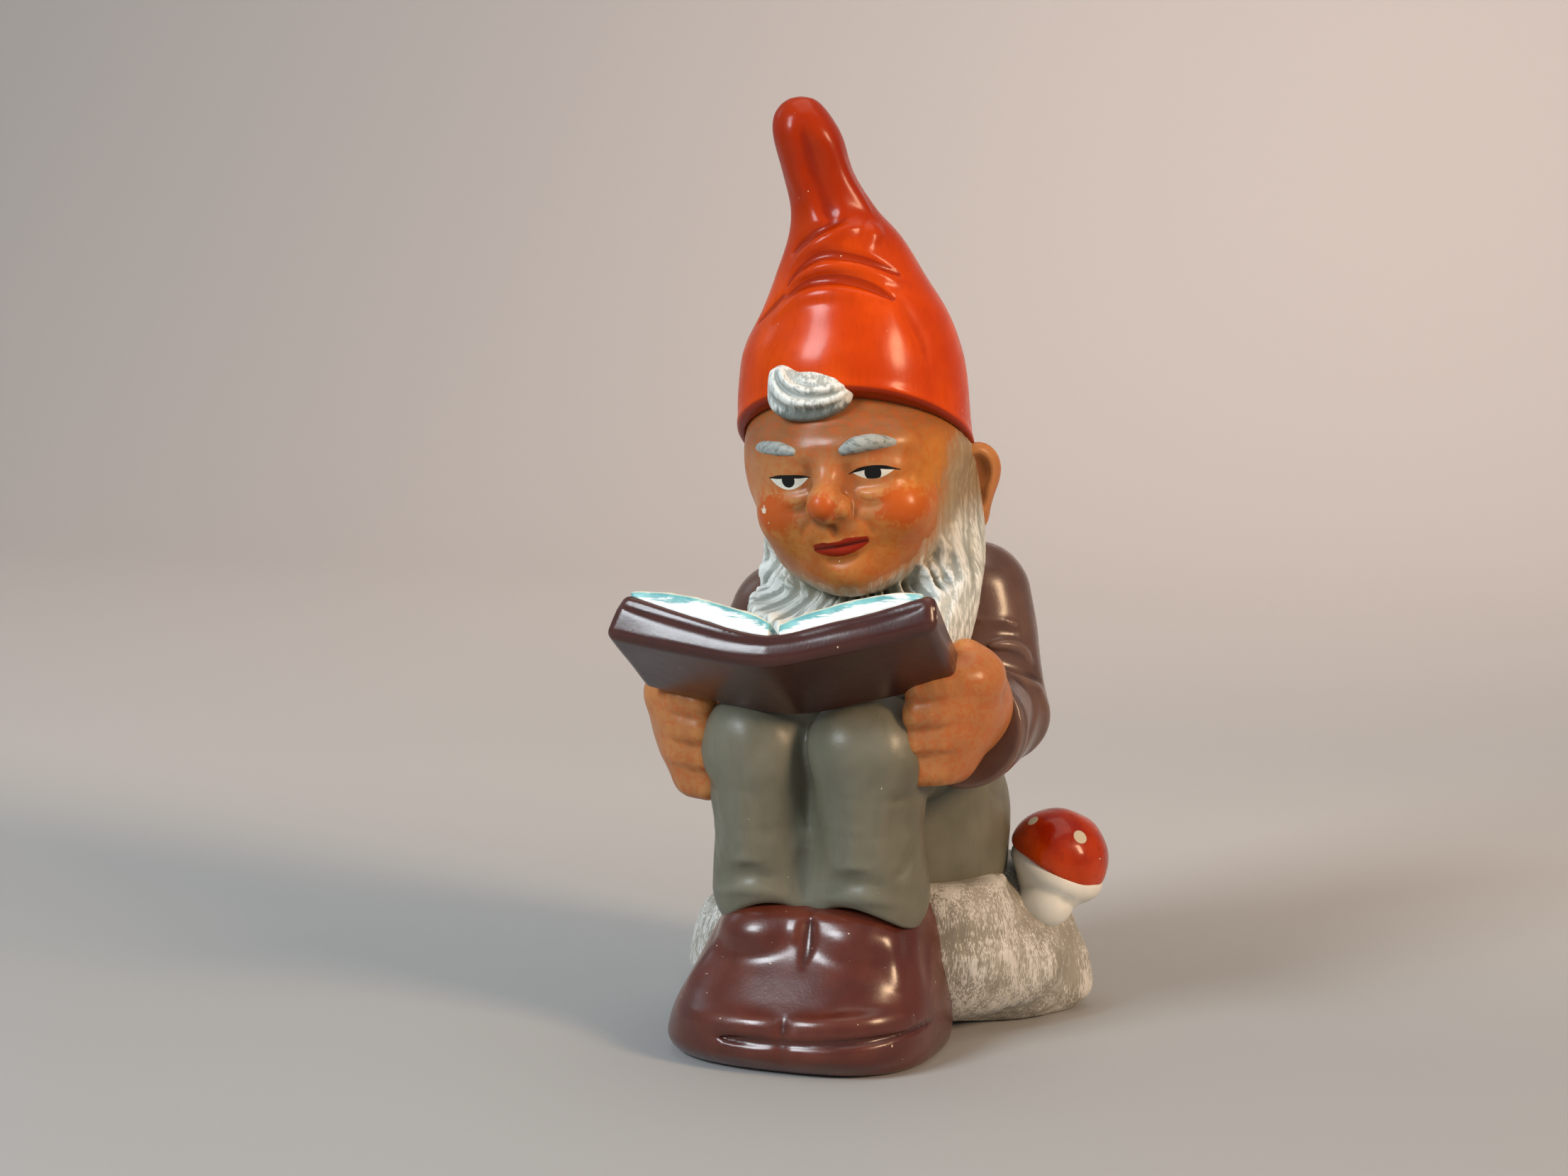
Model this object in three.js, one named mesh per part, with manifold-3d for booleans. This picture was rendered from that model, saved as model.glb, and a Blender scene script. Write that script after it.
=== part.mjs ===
// A reading garden gnome: a painted figurine, cast in plaster.
// Millimetres, +Z up. The gnome looks along -Y, so its left hand is at +X.
// The origin is the middle of the figure's bounding box, on the table.
import * as THREE from 'three';
import { mergeVertices } from 'three/addons/utils/BufferGeometryUtils.js';
import Module from 'manifold-3d';

const wasm = await Module();
wasm.setup();

// Driving dimensions
const seam = 0.3; // gap between two neighbouring pieces
const roundSides = 24; // sides of the large round pieces
const limbSides = 14; // sides of the arms and legs
const middle = -1; // the crease between the legs and between the shoes

const rockHeight = 44;
const rockHalfWidth = 63;
const rockHalfDepth = 31;
const rockBack = 34; // how far the rock's centre lies behind the front of the hips
const rockSide = -4.8;

const seatTop = 86;
const hipHalfWidth = 38.5;
const hipHalfDepth = 37; // the seat runs forward to the calves
const hipBack = 17;

const legSpread = 15.8; // from the crease to the axis of a leg
const shinRadius = 15.8;
const kneeRadius = 17.2;
const kneeHeight = 85;
const kneeFront = -37;
const ankleHeight = 46;
const ankleFront = -33.5;
const creaseDepth = 5; // how far the crease between the legs lies behind the knees

const shoeHeight = 45;
const shoeHeel = 6;
const shoeToe = -67;
const shoeHalfWidth = 35;
const shoeSplay = 0.28; // how much wider the right shoe is at its sole
const weltHeight = 9;
const weltGroove = 1.2;
const toeCrease = 4;

const shoulderHeight = { left: 124, right: 115.5 }; // the gnome leans to its right
const shoulderSide = 29;
const shoulderBack = 15;
const collarHeight = shoulderHeight.left + 19;
const hemHeight = 66;
const waistHalfWidth = 39.5;
const waistHalfDepth = 30;
const waistBack = 23;

const elbowSide = 36.6;
const elbowHeight = kneeHeight + 7;
const elbowBack = 9;
const armRadius = 16;
const cuffRadius = 16.2;
const cuffFront = -14;

const handHeight = { left: kneeHeight + 12, right: kneeHeight + 4 };
const handSide = { left: 37, right: 40.5 };
const handFront = -27;
const palmHalfWidth = 12.3;
const palmHalfDepth = 15.5;
const palmHalfHeight = 17.5;
const wristRadius = 12;
const fingerRadius = 5.6;
const fingerPitch = 7.8;

const neckHeight = 33; // from the left shoulder to the middle of the head
const headHeight = shoulderHeight.left + neckHeight;
const headHalfWidth = 30.5;
const headHalfDepth = 32;
const headHalfHeight = 33;
const earHalfHeight = 10.5;
const browHalfWidth = 8.5;
const curlHalfWidth = 12.5;
const headNod = THREE.MathUtils.degToRad(8); // the gnome looks down at its book
const headTilt = THREE.MathUtils.degToRad(6); // and leans its head to its right

const beardLength = 71;
const beardTip = headHeight + 3 - beardLength;
const beardHalfWidth = 33;
const beardHalfDepth = 24;

const hatHeight = 266; // tip of the hat above the table
const hatRadius = 33.2;
const hatTipSide = -14.5;
const hatTipFront = -12;
const brimHeight = headHeight + 12;
const brimSlope = THREE.MathUtils.degToRad(26); // the brim is higher over the forehead
const brimTilt = THREE.MathUtils.degToRad(5);

const bookWidth = 91;
const bookLength = 36;
const coverThickness = 8.6;
const coverSwell = { left: 1.4, right: 3.4 }; // how much thicker a cover is at its outer end
const pageThickness = 4;
const pageMargin = 1.6; // how far the covers reach past the pages
const bookSlope = THREE.MathUtils.degToRad(33);
const bookFold = THREE.MathUtils.degToRad(14); // how far each cover rises from the spine
const bookTilt = THREE.MathUtils.degToRad(3.4);
const bookTurn = THREE.MathUtils.degToRad(4.2);
const bookTop = [middle, kneeFront - 41.5, kneeHeight + 31.4]; // top end of the spine

const capRadius = 14.3;
const capCentre = [52.2, 28, rockHeight + 3];
const capLean = THREE.MathUtils.degToRad(26);
const stemRadius = 7.2;

// Turns a closed geometry into a solid with its faces pointing out.
function solid(geometry) {
  const bare = geometry.index ? geometry.toNonIndexed() : geometry.clone();
  bare.deleteAttribute('normal');
  bare.deleteAttribute('uv');
  const merged = mergeVertices(bare, 1e-4);
  const vertProperties = merged.attributes.position.array;
  const triVerts = new Uint32Array(merged.index.array);
  const make = () => new wasm.Manifold(new wasm.Mesh({ numProp: 3, vertProperties, triVerts }));
  const made = make();
  if (made.volume() > 0) return made;
  for (let i = 0; i < triVerts.length; i += 3) triVerts.subarray(i, i + 3).reverse();
  return make();
}

// A closed skin through rings of points that all have the same count, with a fan at each end.
function skin(rings) {
  const sides = rings[0].length;
  const centre = (ring) => ring.reduce((sum, p) => sum.add(p), new THREE.Vector3()).divideScalar(sides);
  const points = rings.flat();
  const first = points.push(centre(rings[0])) - 1;
  const last = points.push(centre(rings.at(-1))) - 1;
  const top = (rings.length - 1) * sides;
  const faces = [];
  for (let s = 0; s < sides; s += 1) {
    const next = (s + 1) % sides;
    for (let row = 0; row < top; row += sides) {
      const [a, b] = [row + s, row + next];
      faces.push(a, b, b + sides, a, b + sides, a + sides);
    }
    faces.push(first, next, s, last, top + s, top + next);
  }
  const geometry = new THREE.BufferGeometry().setFromPoints(points);
  geometry.setIndex(faces);
  return solid(geometry);
}

// Smooth values between stations, each an array of numbers of the same length.
function between(stations, t) {
  const place = t * (stations.length - 1);
  const i = Math.min(Math.floor(place), stations.length - 2);
  const at = (k) => stations[THREE.MathUtils.clamp(k, 0, stations.length - 1)];
  const w = place - i;
  return stations[0].map((_, n) => {
    const [p, a, b, q] = [at(i - 1)[n], at(i)[n], at(i + 1)[n], at(i + 2)[n]];
    const [u, v] = [(b - p) / 2, (q - a) / 2];
    return a + u * w + (3 * (b - a) - 2 * u - v) * w * w + (2 * (a - b) + u + v) * w * w * w;
  });
}

// A stack of level sections [z, x, y, half width, half depth], grown outwards by a margin.
// The outline gives a section's unit radius for an angle and a height.
function stack(stations, grow, { sides = roundSides, steps = 2, outline = () => [1, 1] } = {}) {
  const count = (stations.length - 1) * steps;
  const rings = [];
  for (let k = 0; k <= count; k += 1) {
    const [z, x, y, rx, ry] = between(stations, k / count);
    const lift = (k === count) * grow - (k === 0) * grow;
    rings.push(Array.from({ length: sides }, (_, s) => {
      const a = ((s + 0.5) / sides) * 2 * Math.PI;
      const [u, v] = outline(a, z);
      return new THREE.Vector3(
        x + (rx * u + grow) * Math.cos(a),
        y + (ry * v + grow) * Math.sin(a),
        z + lift,
      );
    }));
  }
  return skin(rings);
}

// A limb with round ends along a smooth line of stations [x, y, z, radius].
function limb(stations, grow, { sides = limbSides, steps = 2 } = {}) {
  const line = new THREE.CatmullRomCurve3(stations.map(([x, y, z]) => new THREE.Vector3(x, y, z)));
  const count = (stations.length - 1) * steps;
  const frames = line.computeFrenetFrames(count);
  const radii = stations.map((s) => [s[3] + grow]);
  const ring = (k, lean) => {
    const [radius] = between(radii, k / count);
    const centre = line.getPoint(k / count).addScaledVector(frames.tangents[k], radius * Math.sin(lean));
    return Array.from({ length: sides }, (_, s) => {
      const a = (s / sides) * 2 * Math.PI;
      return centre.clone()
        .addScaledVector(frames.normals[k], radius * Math.cos(lean) * Math.cos(a))
        .addScaledVector(frames.binormals[k], radius * Math.cos(lean) * Math.sin(a));
    });
  };
  const caps = [3, 2, 1].map((k) => (k / 3.45) * (Math.PI / 2)); // rings of the round ends
  const rings = caps.map((lean) => ring(0, -lean));
  for (let k = 0; k <= count; k += 1) rings.push(ring(k, 0));
  for (const lean of caps.toReversed()) rings.push(ring(count, lean));
  return skin(rings);
}

// An ellipsoid, turned about its own centre.
function ball(centre, radii, grow, turn = [0, 0, 0], sides = roundSides) {
  const geometry = new THREE.SphereGeometry(1, sides, Math.round(sides * 0.6));
  geometry.rotateX(Math.PI / 2);
  geometry.scale(...radii.map((r) => r + grow));
  const frame = new THREE.Matrix4().makeRotationFromEuler(new THREE.Euler(...turn)).setPosition(...centre);
  return solid(geometry.applyMatrix4(frame));
}

const join = (...solids) => solids.reduce((a, b) => a.add(b));
const cut = (from, ...tools) => tools.reduce((a, b) => a.subtract(b), from);
const toSide = (side, x) => (side === 'left' ? x : -x);

// Everything on one side of the crease, which keeps the two legs and the two shoes apart.
function halfSpace(side) {
  const size = 400;
  const box = new THREE.BoxGeometry(size, size, size);
  return solid(box.translate(middle + toSide(side, (size + seam) / 2), 0, size / 2));
}

// Rock
const rockLumps = (a, z) => {
  const lump = 1 + 0.02 * Math.sin(3 * a + 0.6 + z / 30) + 0.012 * Math.sin(5 * a + 2 - z / 18);
  return [lump, lump];
};
const rockStations = [
  [0, 0.93, 0.93], [0.12, 1, 1], [0.3, 0.995, 0.99], [0.52, 0.93, 0.96],
  [0.74, 0.81, 0.88], [0.93, 0.7, 0.8], [1, 0.6, 0.7],
].map(([h, w, d]) => [h * rockHeight, rockSide, rockBack, w * rockHalfWidth, d * rockHalfDepth]);
const rockForm = (grow) => stack(rockStations, grow, { sides: 32, outline: rockLumps });

// Trousers: the seat on the rock and, on each side, a thigh, a knee and a shin
const seatStations = [
  [rockHeight - 5, 0.97, 0.95], [rockHeight + 8, 1, 1], [rockHeight + 22, 1, 1], [seatTop, 0.92, 0.92],
].map(([z, w, d]) => [z, 0, hipBack, w * hipHalfWidth, d * hipHalfDepth]);
const seatForm = (grow) => stack(seatStations, grow);

function legForm(side, grow) {
  const x = middle + toSide(side, legSpread);
  const thigh = limb([
    [x, hipBack - 5, kneeHeight - 6, kneeRadius],
    [x, (hipBack + kneeFront) / 2, kneeHeight - 2, kneeRadius],
    [x, kneeFront, kneeHeight, kneeRadius - 1.5],
  ], grow);
  const shin = limb([
    [x, kneeFront, kneeHeight, kneeRadius],
    [x, kneeFront + 1, 0.55 * kneeHeight + 0.45 * ankleHeight, shinRadius],
    [x, ankleFront, ankleHeight, shinRadius - 1],
  ], grow);
  const inside = middle + toSide(side, 0.4 * legSpread);
  const web = limb([
    [inside, kneeFront - 1, kneeHeight - 3, kneeRadius - creaseDepth],
    [inside, ankleFront - 2, ankleHeight + 2, shinRadius - creaseDepth + 2],
  ], grow, { steps: 1 });
  return join(thigh, shin, web).intersect(halfSpace(side));
}

// Shoes: a squarish pair with a rounded welt, creased between the toes
const shoeStations = [
  [0, 0.92, 0.88], [0.095, 0.98, 0.965], [0.2, 0.97, 0.975], [0.3, 0.97, 0.97], [0.47, 0.93, 0.93],
  [0.64, 0.89, 0.86], [0.79, 0.85, 0.785], [0.91, 0.78, 0.73], [1, 0.6, 0.62],
].map(([h, w, d]) => {
  const length = (shoeHeel - shoeToe) * d;
  return [h * shoeHeight, middle, shoeHeel - length / 2, w, length / 2];
});
function shoeForm(side, grow) {
  const outline = (a, z) => {
    const square = (Math.abs(Math.cos(a)) ** 2.7 + Math.abs(Math.sin(a)) ** 2.7) ** (-1 / 2.7);
    const splay = Math.cos(a) > 0 ? 0 : shoeSplay * (1 - z / shoeHeight);
    const welt = Math.exp(-(((z - weltHeight) / 1.8) ** 2)) * weltGroove;
    const crease = Math.sin(a) < 0 ? toeCrease * Math.exp(-((Math.cos(a) * 7) ** 2)) : 0;
    return [square * shoeHalfWidth * (1 + splay) - welt, square - (welt + crease) / 36];
  };
  return stack(shoeStations, grow, { sides: 40, outline }).intersect(halfSpace(side));
}

// Jacket: the torso and, on each side, a sleeve that ends in a wide cuff
const jacketStations = [
  [hemHeight, 0, waistBack, waistHalfWidth, waistHalfDepth],
  [hemHeight + 20, 0, waistBack - 2, waistHalfWidth, waistHalfDepth],
  [shoulderHeight.left - 18, 0, shoulderBack + 3, waistHalfWidth - 2, waistHalfDepth - 3],
  [shoulderHeight.left, 0.5, shoulderBack, shoulderSide + 7, 24],
  [shoulderHeight.left + 10, 2, shoulderBack - 2, shoulderSide - 3, 20],
  [collarHeight, 0, shoulderBack - 5, 17, 15],
];
const jacketForm = (grow) => stack(jacketStations, grow);

function sleeveForm(side, grow) {
  const x = (value) => toSide(side, value);
  const upper = limb([
    [x(shoulderSide), shoulderBack, shoulderHeight[side], armRadius + 0.5],
    [x(elbowSide - 3.2), (shoulderBack + elbowBack) / 2, (shoulderHeight[side] + elbowHeight) / 2, armRadius],
    [x(elbowSide), elbowBack, elbowHeight, armRadius],
  ], grow);
  const lower = limb([
    [x(elbowSide), elbowBack, elbowHeight, armRadius - 1.2],
    [x(elbowSide - 1), cuffFront, elbowHeight - 0.7, cuffRadius],
  ], grow);
  const size = 400;
  const behindCuff = new THREE.BoxGeometry(size, size, size).translate(0, cuffFront - grow + size / 2, 0);
  return join(upper, lower).intersect(solid(behindCuff));
}

// Hands: a broad back of the hand, a wrist and four fingers that hold the book from below
function handForm(side, grow) {
  const x = (value) => toSide(side, handSide[side] + value);
  const z = handHeight[side];
  const palmTurn = [-0.15, toSide(side, 0.25), 0];
  const palmSize = [palmHalfWidth, palmHalfDepth, palmHalfHeight];
  const palm = ball([x(0.5), handFront, z], palmSize, grow, palmTurn, 16);
  const wrist = limb([
    [x(0), handFront + 23, z - 2, wristRadius],
    [x(0), handFront + 7, z, wristRadius + 1],
  ], grow, { sides: 12, steps: 1 });
  const fingers = [0, 1, 2, 3].map((n) => {
    const level = z + fingerPitch * (1.4 - n);
    const front = handFront - 2 * fingerRadius + (n === 3 ? 2.5 : 0);
    return limb([
      [x(4.5 - 1.6 * n), handFront - 2, level, fingerRadius + 0.5],
      [x(-0.6 * n), front - 2, level - 0.5, fingerRadius],
      [x(-7 - 0.3 * n), front - 4, level - 1.5, fingerRadius - 0.8],
    ], grow, { sides: 8, steps: 1 });
  });
  return join(palm, wrist, ...fingers);
}

// Head: the skull, jaw, cheeks, chin and nose share one frame that nods and leans
const headFrame = new THREE.Matrix4()
  .makeRotationFromEuler(new THREE.Euler(headNod, -headTilt, 0, 'YXZ'))
  .setPosition(0, -1, headHeight);
const onHead = (made) => made.transform(headFrame.elements);
const onSkull = ([x, y, z]) => [x * headHalfWidth, y * headHalfDepth, z * headHalfHeight];
const features = [
  [[0.02, -0.27, -0.24], [0.84, 0.75, 0.64]], // jaw
  [[0.03, -0.72, -0.53], [0.34, 0.3, 0.27]], // chin
  [[0.43, -0.77, -0.05], [0.3, 0.28, 0.26]], // cheeks
  [[-0.39, -0.77, -0.05], [0.31, 0.28, 0.26]],
  [[0.46, -0.68, 0.24], [0.27, 0.24, 0.17]], // eyelids
  [[-0.34, -0.68, 0.24], [0.27, 0.24, 0.17]],
  [[0.08, -0.86, -0.23], [0.33, 0.2, 0.15]], // mouth
  [[0.05, -0.98, 0.22], [0.11, 0.12, 0.2]], // bridge and tip of the nose
  [[0.05, -1.11, 0.04], [0.16, 0.2, 0.17]],
  [[0.2, -1.03, -0.03], [0.1, 0.13, 0.11]], // wings of the nose
  [[-0.1, -1.03, -0.03], [0.1, 0.13, 0.11]],
];
function headForm(grow) {
  const skull = ball(onSkull([0, 0.03, 0.15]), onSkull([1, 1, 1]), grow);
  const parts = features.map(([centre, size]) => ball(onSkull(centre), onSkull(size), grow, [0, 0, 0], 12));
  return onHead(join(skull, ...parts));
}
function earForm(side, grow) {
  const radii = [0.67 * earHalfHeight, 0.38 * earHalfHeight, earHalfHeight];
  return onHead(ball(onSkull([toSide(side, 1), 0.34, -0.08]), radii, grow, [0.1, 0, toSide(side, 0.5)], 16));
}
function eyebrowForm(side, grow) {
  const centre = onSkull([toSide(side, 0.46), -0.925, 0.5]);
  const radii = [browHalfWidth, 0.38 * browHalfWidth, 0.35 * browHalfWidth];
  return onHead(ball(centre, radii, grow, [0, 0, toSide(side, 0.42)], 12));
}
function forelockForm(grow) {
  const centre = [-0.13 * headHalfWidth, -0.95 * headHalfDepth, brimHeight + 0.42 * headHalfHeight];
  const radii = [curlHalfWidth, 0.44 * curlHalfWidth, 0.56 * curlHalfWidth];
  return ball(centre, radii, grow, [0.3, -0.4, 0], 16);
}

// Beard: it runs round the head below the hat, as the hair at the back, and down to the chest
const beardStations = [
  [0, 0.06, -0.71, 0.18, 0.17], [0.11, 0.08, -0.75, 0.52, 0.38], [0.3, 0.11, -0.71, 0.91, 0.63],
  [0.45, 0.11, -0.5, 1, 0.79], [0.58, 0.09, -0.21, 1, 0.92], [0.69, 0.08, 0.08, 0.98, 0.96],
  [0.86, 0.03, 0.25, 0.97, 1], [1, 0, 0.29, 0.95, 1],
].map(([h, x, y, w, d]) => {
  const [wide, deep] = [beardHalfWidth, beardHalfDepth];
  return [beardTip + h * beardLength, x * wide, y * deep, w * wide, d * deep];
});
const beardForm = (grow) => stack(beardStations, grow, { steps: 1 });

// Hat: round sections that lean towards the tip, cut off below by the sloping brim
const hatStations = [
  [-0.93, 0, 0, 0.95], [-0.36, 0.05, 0, 1], [0.07, 0.17, 0.04, 1], [0.19, 0.19, 0.08, 0.976],
  [0.28, 0.18, 0.12, 0.92], [0.39, 0.13, 0.17, 0.782], [0.5, 0.2, 0.25, 0.62], [0.6, 0.28, 0.36, 0.478],
  [0.68, 0.47, 0.5, 0.37], [0.78, 0.71, 0.75, 0.304], [0.88, 0.86, 0.96, 0.292], [0.94, 0.96, 1, 0.238],
  [0.985, 1, 1, 0.15], [1, 1, 1, 0.035],
].map(([h, lean, nod, r]) => {
  const z = brimHeight + h * (h < 0 ? hatRadius : hatHeight - brimHeight);
  return [z, lean * hatTipSide, nod * hatTipFront, r * hatRadius, r * hatRadius];
});
function hatForm(grow) {
  const size = 2 * hatHeight;
  const above = new THREE.BoxGeometry(size, size, size).translate(0, 0, size / 2 - grow);
  above.applyMatrix4(new THREE.Matrix4()
    .makeRotationFromEuler(new THREE.Euler(-brimSlope, -brimTilt, 0))
    .setPosition(0, 0, brimHeight));
  return stack(hatStations, grow, { steps: 1 }).intersect(solid(above));
}

// Book: two thick covers that rise from the spine, with a block of pages on each
const bookFrame = new THREE.Matrix4()
  .makeRotationFromEuler(new THREE.Euler(-bookSlope, -bookTilt, bookTurn, 'ZYX'))
  .setPosition(...bookTop);
const bookRise = Math.tan(bookFold);

// A block on the lower face of the covers, between two places across the book and two heights
function bookBlock(near, far, low, high, inset, grow) {
  const half = bookWidth / 2;
  const swell = (x) => (Math.abs(x) / half) * (x < 0 ? coverSwell.right : coverSwell.left);
  const wing = (x, height, thick) => new THREE.Vector2(x, Math.abs(x) * bookRise + height + thick * swell(x));
  const xs = near < 0 && far > 0 ? [near, 0, far] : [near, far];
  const under = xs.map((x) => wing(x, low - grow, low > 0 ? 1 : 0));
  const over = xs.map((x) => wing(x, high + grow, 1)).reverse();
  const depth = bookLength - inset + 2 * grow;
  const profile = new THREE.Shape([...under, ...over]);
  const block = new THREE.ExtrudeGeometry(profile, { depth, bevelEnabled: false });
  block.rotateX(Math.PI / 2);
  return solid(block.translate(0, bookLength + grow, 0).applyMatrix4(bookFrame));
}
function coverForm(grow) {
  const half = bookWidth / 2 + grow;
  return bookBlock(-half, half, 0, coverThickness, 0, grow);
}
function pagesForm(side, grow) {
  const inner = seam / 2 - grow;
  const outer = bookWidth / 2 - pageMargin + grow;
  const low = coverThickness + seam;
  const [near, far] = side === 'left' ? [Math.max(inner, 0), outer] : [-outer, Math.min(-inner, 0)];
  return bookBlock(near, far, low, low + pageThickness, pageMargin, grow);
}

// Mushroom on the rock, at the gnome's left: a dome on a stem that swells below it
const capFrame = new THREE.Matrix4().makeRotationY(capLean).setPosition(...capCentre);
function capForm(grow) {
  const dome = (r) => new THREE.LatheGeometry([
    new THREE.Vector2(0, -2.4 - grow),
    new THREE.Vector2(r * 0.86, -2.4 - grow),
    new THREE.Vector2(r * 0.985, -0.6),
    ...[0.14, 0.4, 0.7, 1, 1.3].map((a) => new THREE.Vector2(r * Math.cos(a), r * Math.sin(a))),
    new THREE.Vector2(0, r),
  ], 24);
  return solid(dome(capRadius + grow).rotateX(Math.PI / 2).applyMatrix4(capFrame));
}
const stemForm = (grow) => limb([
  [capCentre[0] - 2.2, capCentre[1] - 5, rockHeight - 14, stemRadius],
  [capCentre[0] - 1.6, capCentre[1] - 3, rockHeight - 7.5, stemRadius + 2.6],
  [capCentre[0] - 0.4, capCentre[1] - 1.2, rockHeight - 1.5, 0.88 * capRadius],
], grow, { steps: 1 });

// Paint on plaster
const paint = (color, roughness) => new THREE.MeshStandardMaterial({ color, roughness, metalness: 0 });
const hatRed = paint(0xc4330f, 0.35);
const capRed = paint(0xa82a16, 0.32);
const shoeBrown = paint(0x4a221c, 0.38);
const coverBrown = paint(0x45211d, 0.38);
const jacketBrown = paint(0x54362e, 0.5);
const trouserGrey = paint(0x7d8072, 0.6);
const skinTone = paint(0xbf7235, 0.45);
const hairSilver = paint(0xa3a698, 0.6);
const stoneGrey = paint(0xa09a8c, 0.85);
const pageWhite = paint(0xd8e6e2, 0.6);
const stemWhite = paint(0xc0c0b2, 0.6);

const figure = new THREE.Group();

function place(name, made, material) {
  const { vertProperties, triVerts } = made.getMesh();
  const geometry = new THREE.BufferGeometry();
  geometry.setAttribute('position', new THREE.BufferAttribute(vertProperties, 3));
  geometry.setIndex(new THREE.BufferAttribute(triVerts, 1));
  geometry.computeVertexNormals();
  const mesh = new THREE.Mesh(geometry, material);
  mesh.name = name;
  figure.add(mesh);
}

// Each piece is cut back from the ones before it in this order
const book = [coverForm(seam), pagesForm('left', seam), pagesForm('right', seam)];
const shoes = [shoeForm('left', seam), shoeForm('right', seam)];
const legs = [legForm('left', seam), legForm('right', seam)];
const hands = [handForm('left', seam), handForm('right', seam)];
const sleeves = [sleeveForm('left', seam), sleeveForm('right', seam)];

place('base_rock', cut(rockForm(0), seatForm(seam), ...shoes, ...legs), stoneGrey);
place('trouser_seat', cut(seatForm(0), jacketForm(seam), ...shoes), trouserGrey);
place('jacket', cut(jacketForm(0), headForm(seam)), jacketBrown);
place('head', cut(headForm(0), hatForm(seam)), skinTone);
place('hat', hatForm(0), hatRed);
place('book_cover', coverForm(0), coverBrown);
for (const side of ['left', 'right']) {
  const leg = legForm(side, seam);
  const clothes = [jacketForm(seam), seatForm(seam)];
  place(`${side}_pages`, pagesForm(side, 0), pageWhite);
  place(`${side}_shoe`, shoeForm(side, 0), shoeBrown);
  place(`${side}_trouser_leg`, cut(legForm(side, 0), ...clothes, ...book, ...shoes), trouserGrey);
  place(`${side}_hand`, cut(handForm(side, 0), leg, ...clothes, ...book), skinTone);
  place(`${side}_sleeve`, cut(sleeveForm(side, 0), ...clothes, leg, handForm(side, seam)), jacketBrown);
  place(`${side}_ear`, cut(earForm(side, 0), headForm(seam), hatForm(seam)), skinTone);
  place(`${side}_eyebrow`, cut(eyebrowForm(side, 0), headForm(seam), hatForm(seam)), hairSilver);
}
const ears = [earForm('left', seam), earForm('right', seam)];
const headAndHat = [headForm(seam), hatForm(seam), ...ears];
const body = [jacketForm(seam), ...book, ...legs, ...hands, ...sleeves];
place('beard', cut(beardForm(0), ...headAndHat, ...body), hairSilver);
place('forelock', cut(forelockForm(0), headForm(seam), hatForm(seam)), hairSilver);
place('mushroom_cap', capForm(0), capRed);
place('mushroom_stem', cut(stemForm(0), capForm(seam), rockForm(seam), seatForm(seam)), stemWhite);

// Centre the figure over the origin
const centre = new THREE.Box3().setFromObject(figure).getCenter(new THREE.Vector3());
for (const mesh of figure.children) mesh.position.set(-centre.x, -centre.y, 0);

export default figure;
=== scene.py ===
"""A reading garden gnome, a painted plaster figurine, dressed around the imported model.

Its forms are carved in millimetres, in the figure's own frame: +Z up, the gnome looks along -Y and its left
is at +X. The crease between its shoes lies at x = -1, and its heels end at y = 6.
"""
import math
from collections import namedtuple

import bpy
import numpy as np
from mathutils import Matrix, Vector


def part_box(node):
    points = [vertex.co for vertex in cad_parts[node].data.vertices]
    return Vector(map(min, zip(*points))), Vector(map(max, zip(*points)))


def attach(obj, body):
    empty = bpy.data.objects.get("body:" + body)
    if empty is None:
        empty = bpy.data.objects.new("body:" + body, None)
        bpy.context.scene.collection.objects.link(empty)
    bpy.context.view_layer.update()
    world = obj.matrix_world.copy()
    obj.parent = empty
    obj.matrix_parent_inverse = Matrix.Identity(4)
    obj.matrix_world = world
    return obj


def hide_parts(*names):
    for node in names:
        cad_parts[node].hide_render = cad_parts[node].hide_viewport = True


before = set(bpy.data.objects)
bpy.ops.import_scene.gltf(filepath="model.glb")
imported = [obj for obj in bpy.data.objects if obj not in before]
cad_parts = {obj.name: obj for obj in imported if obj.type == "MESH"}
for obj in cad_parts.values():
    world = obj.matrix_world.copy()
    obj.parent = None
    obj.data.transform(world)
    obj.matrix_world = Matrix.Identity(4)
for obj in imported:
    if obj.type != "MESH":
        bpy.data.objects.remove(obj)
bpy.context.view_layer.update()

import openvdb
from mathutils import Euler, Matrix, Vector

# The figure's frame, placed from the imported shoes
CREASE = -1.0
HEEL = 6.0
left_shoe_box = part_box("left_shoe")
right_shoe_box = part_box("right_shoe")
ORIGIN = np.array((
    1000 * (left_shoe_box[0].x + right_shoe_box[1].x) / 2 - CREASE,
    1000 * left_shoe_box[1].y - HEEL,
    0.0,
))

# Grid steps
COARSE = 0.75
MEDIUM = 0.62
BEARD_STEP = 0.6
FINE = 0.5
STEM_STEP = 0.45
SMALL_STEP = 0.42
FORELOCK_STEP = 0.38
EYEBROW_STEP = 0.35

MARGIN = 4.0  # how far round a form its distances are kept
FLOOR_GAP = 0.05  # the rock and the shoes end this far above the floor
REST_TOP = 44.6  # and are trimmed level at this height

ROCK_CENTRE = (-4.8, 34.0)
ROCK_HALF = (62.4, 30.6)
ROCK_HEIGHT = 44.0
SHOE_HALF = 35.0
SHOE_LENGTH = 73.0
SHOE_HEIGHT = 45.0
SHOE_SPLAY = 0.28  # how much wider the right shoe is at the floor
LEG_APART = 15.8  # from the crease to the middle of each leg
CUFF_HEIGHT = 92.0
SHOULDER = {"left": 124.0, "right": 115.5}
HAND = {"left": (37.0, 97.0), "right": (39.9, 89.0)}  # across and height

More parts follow.
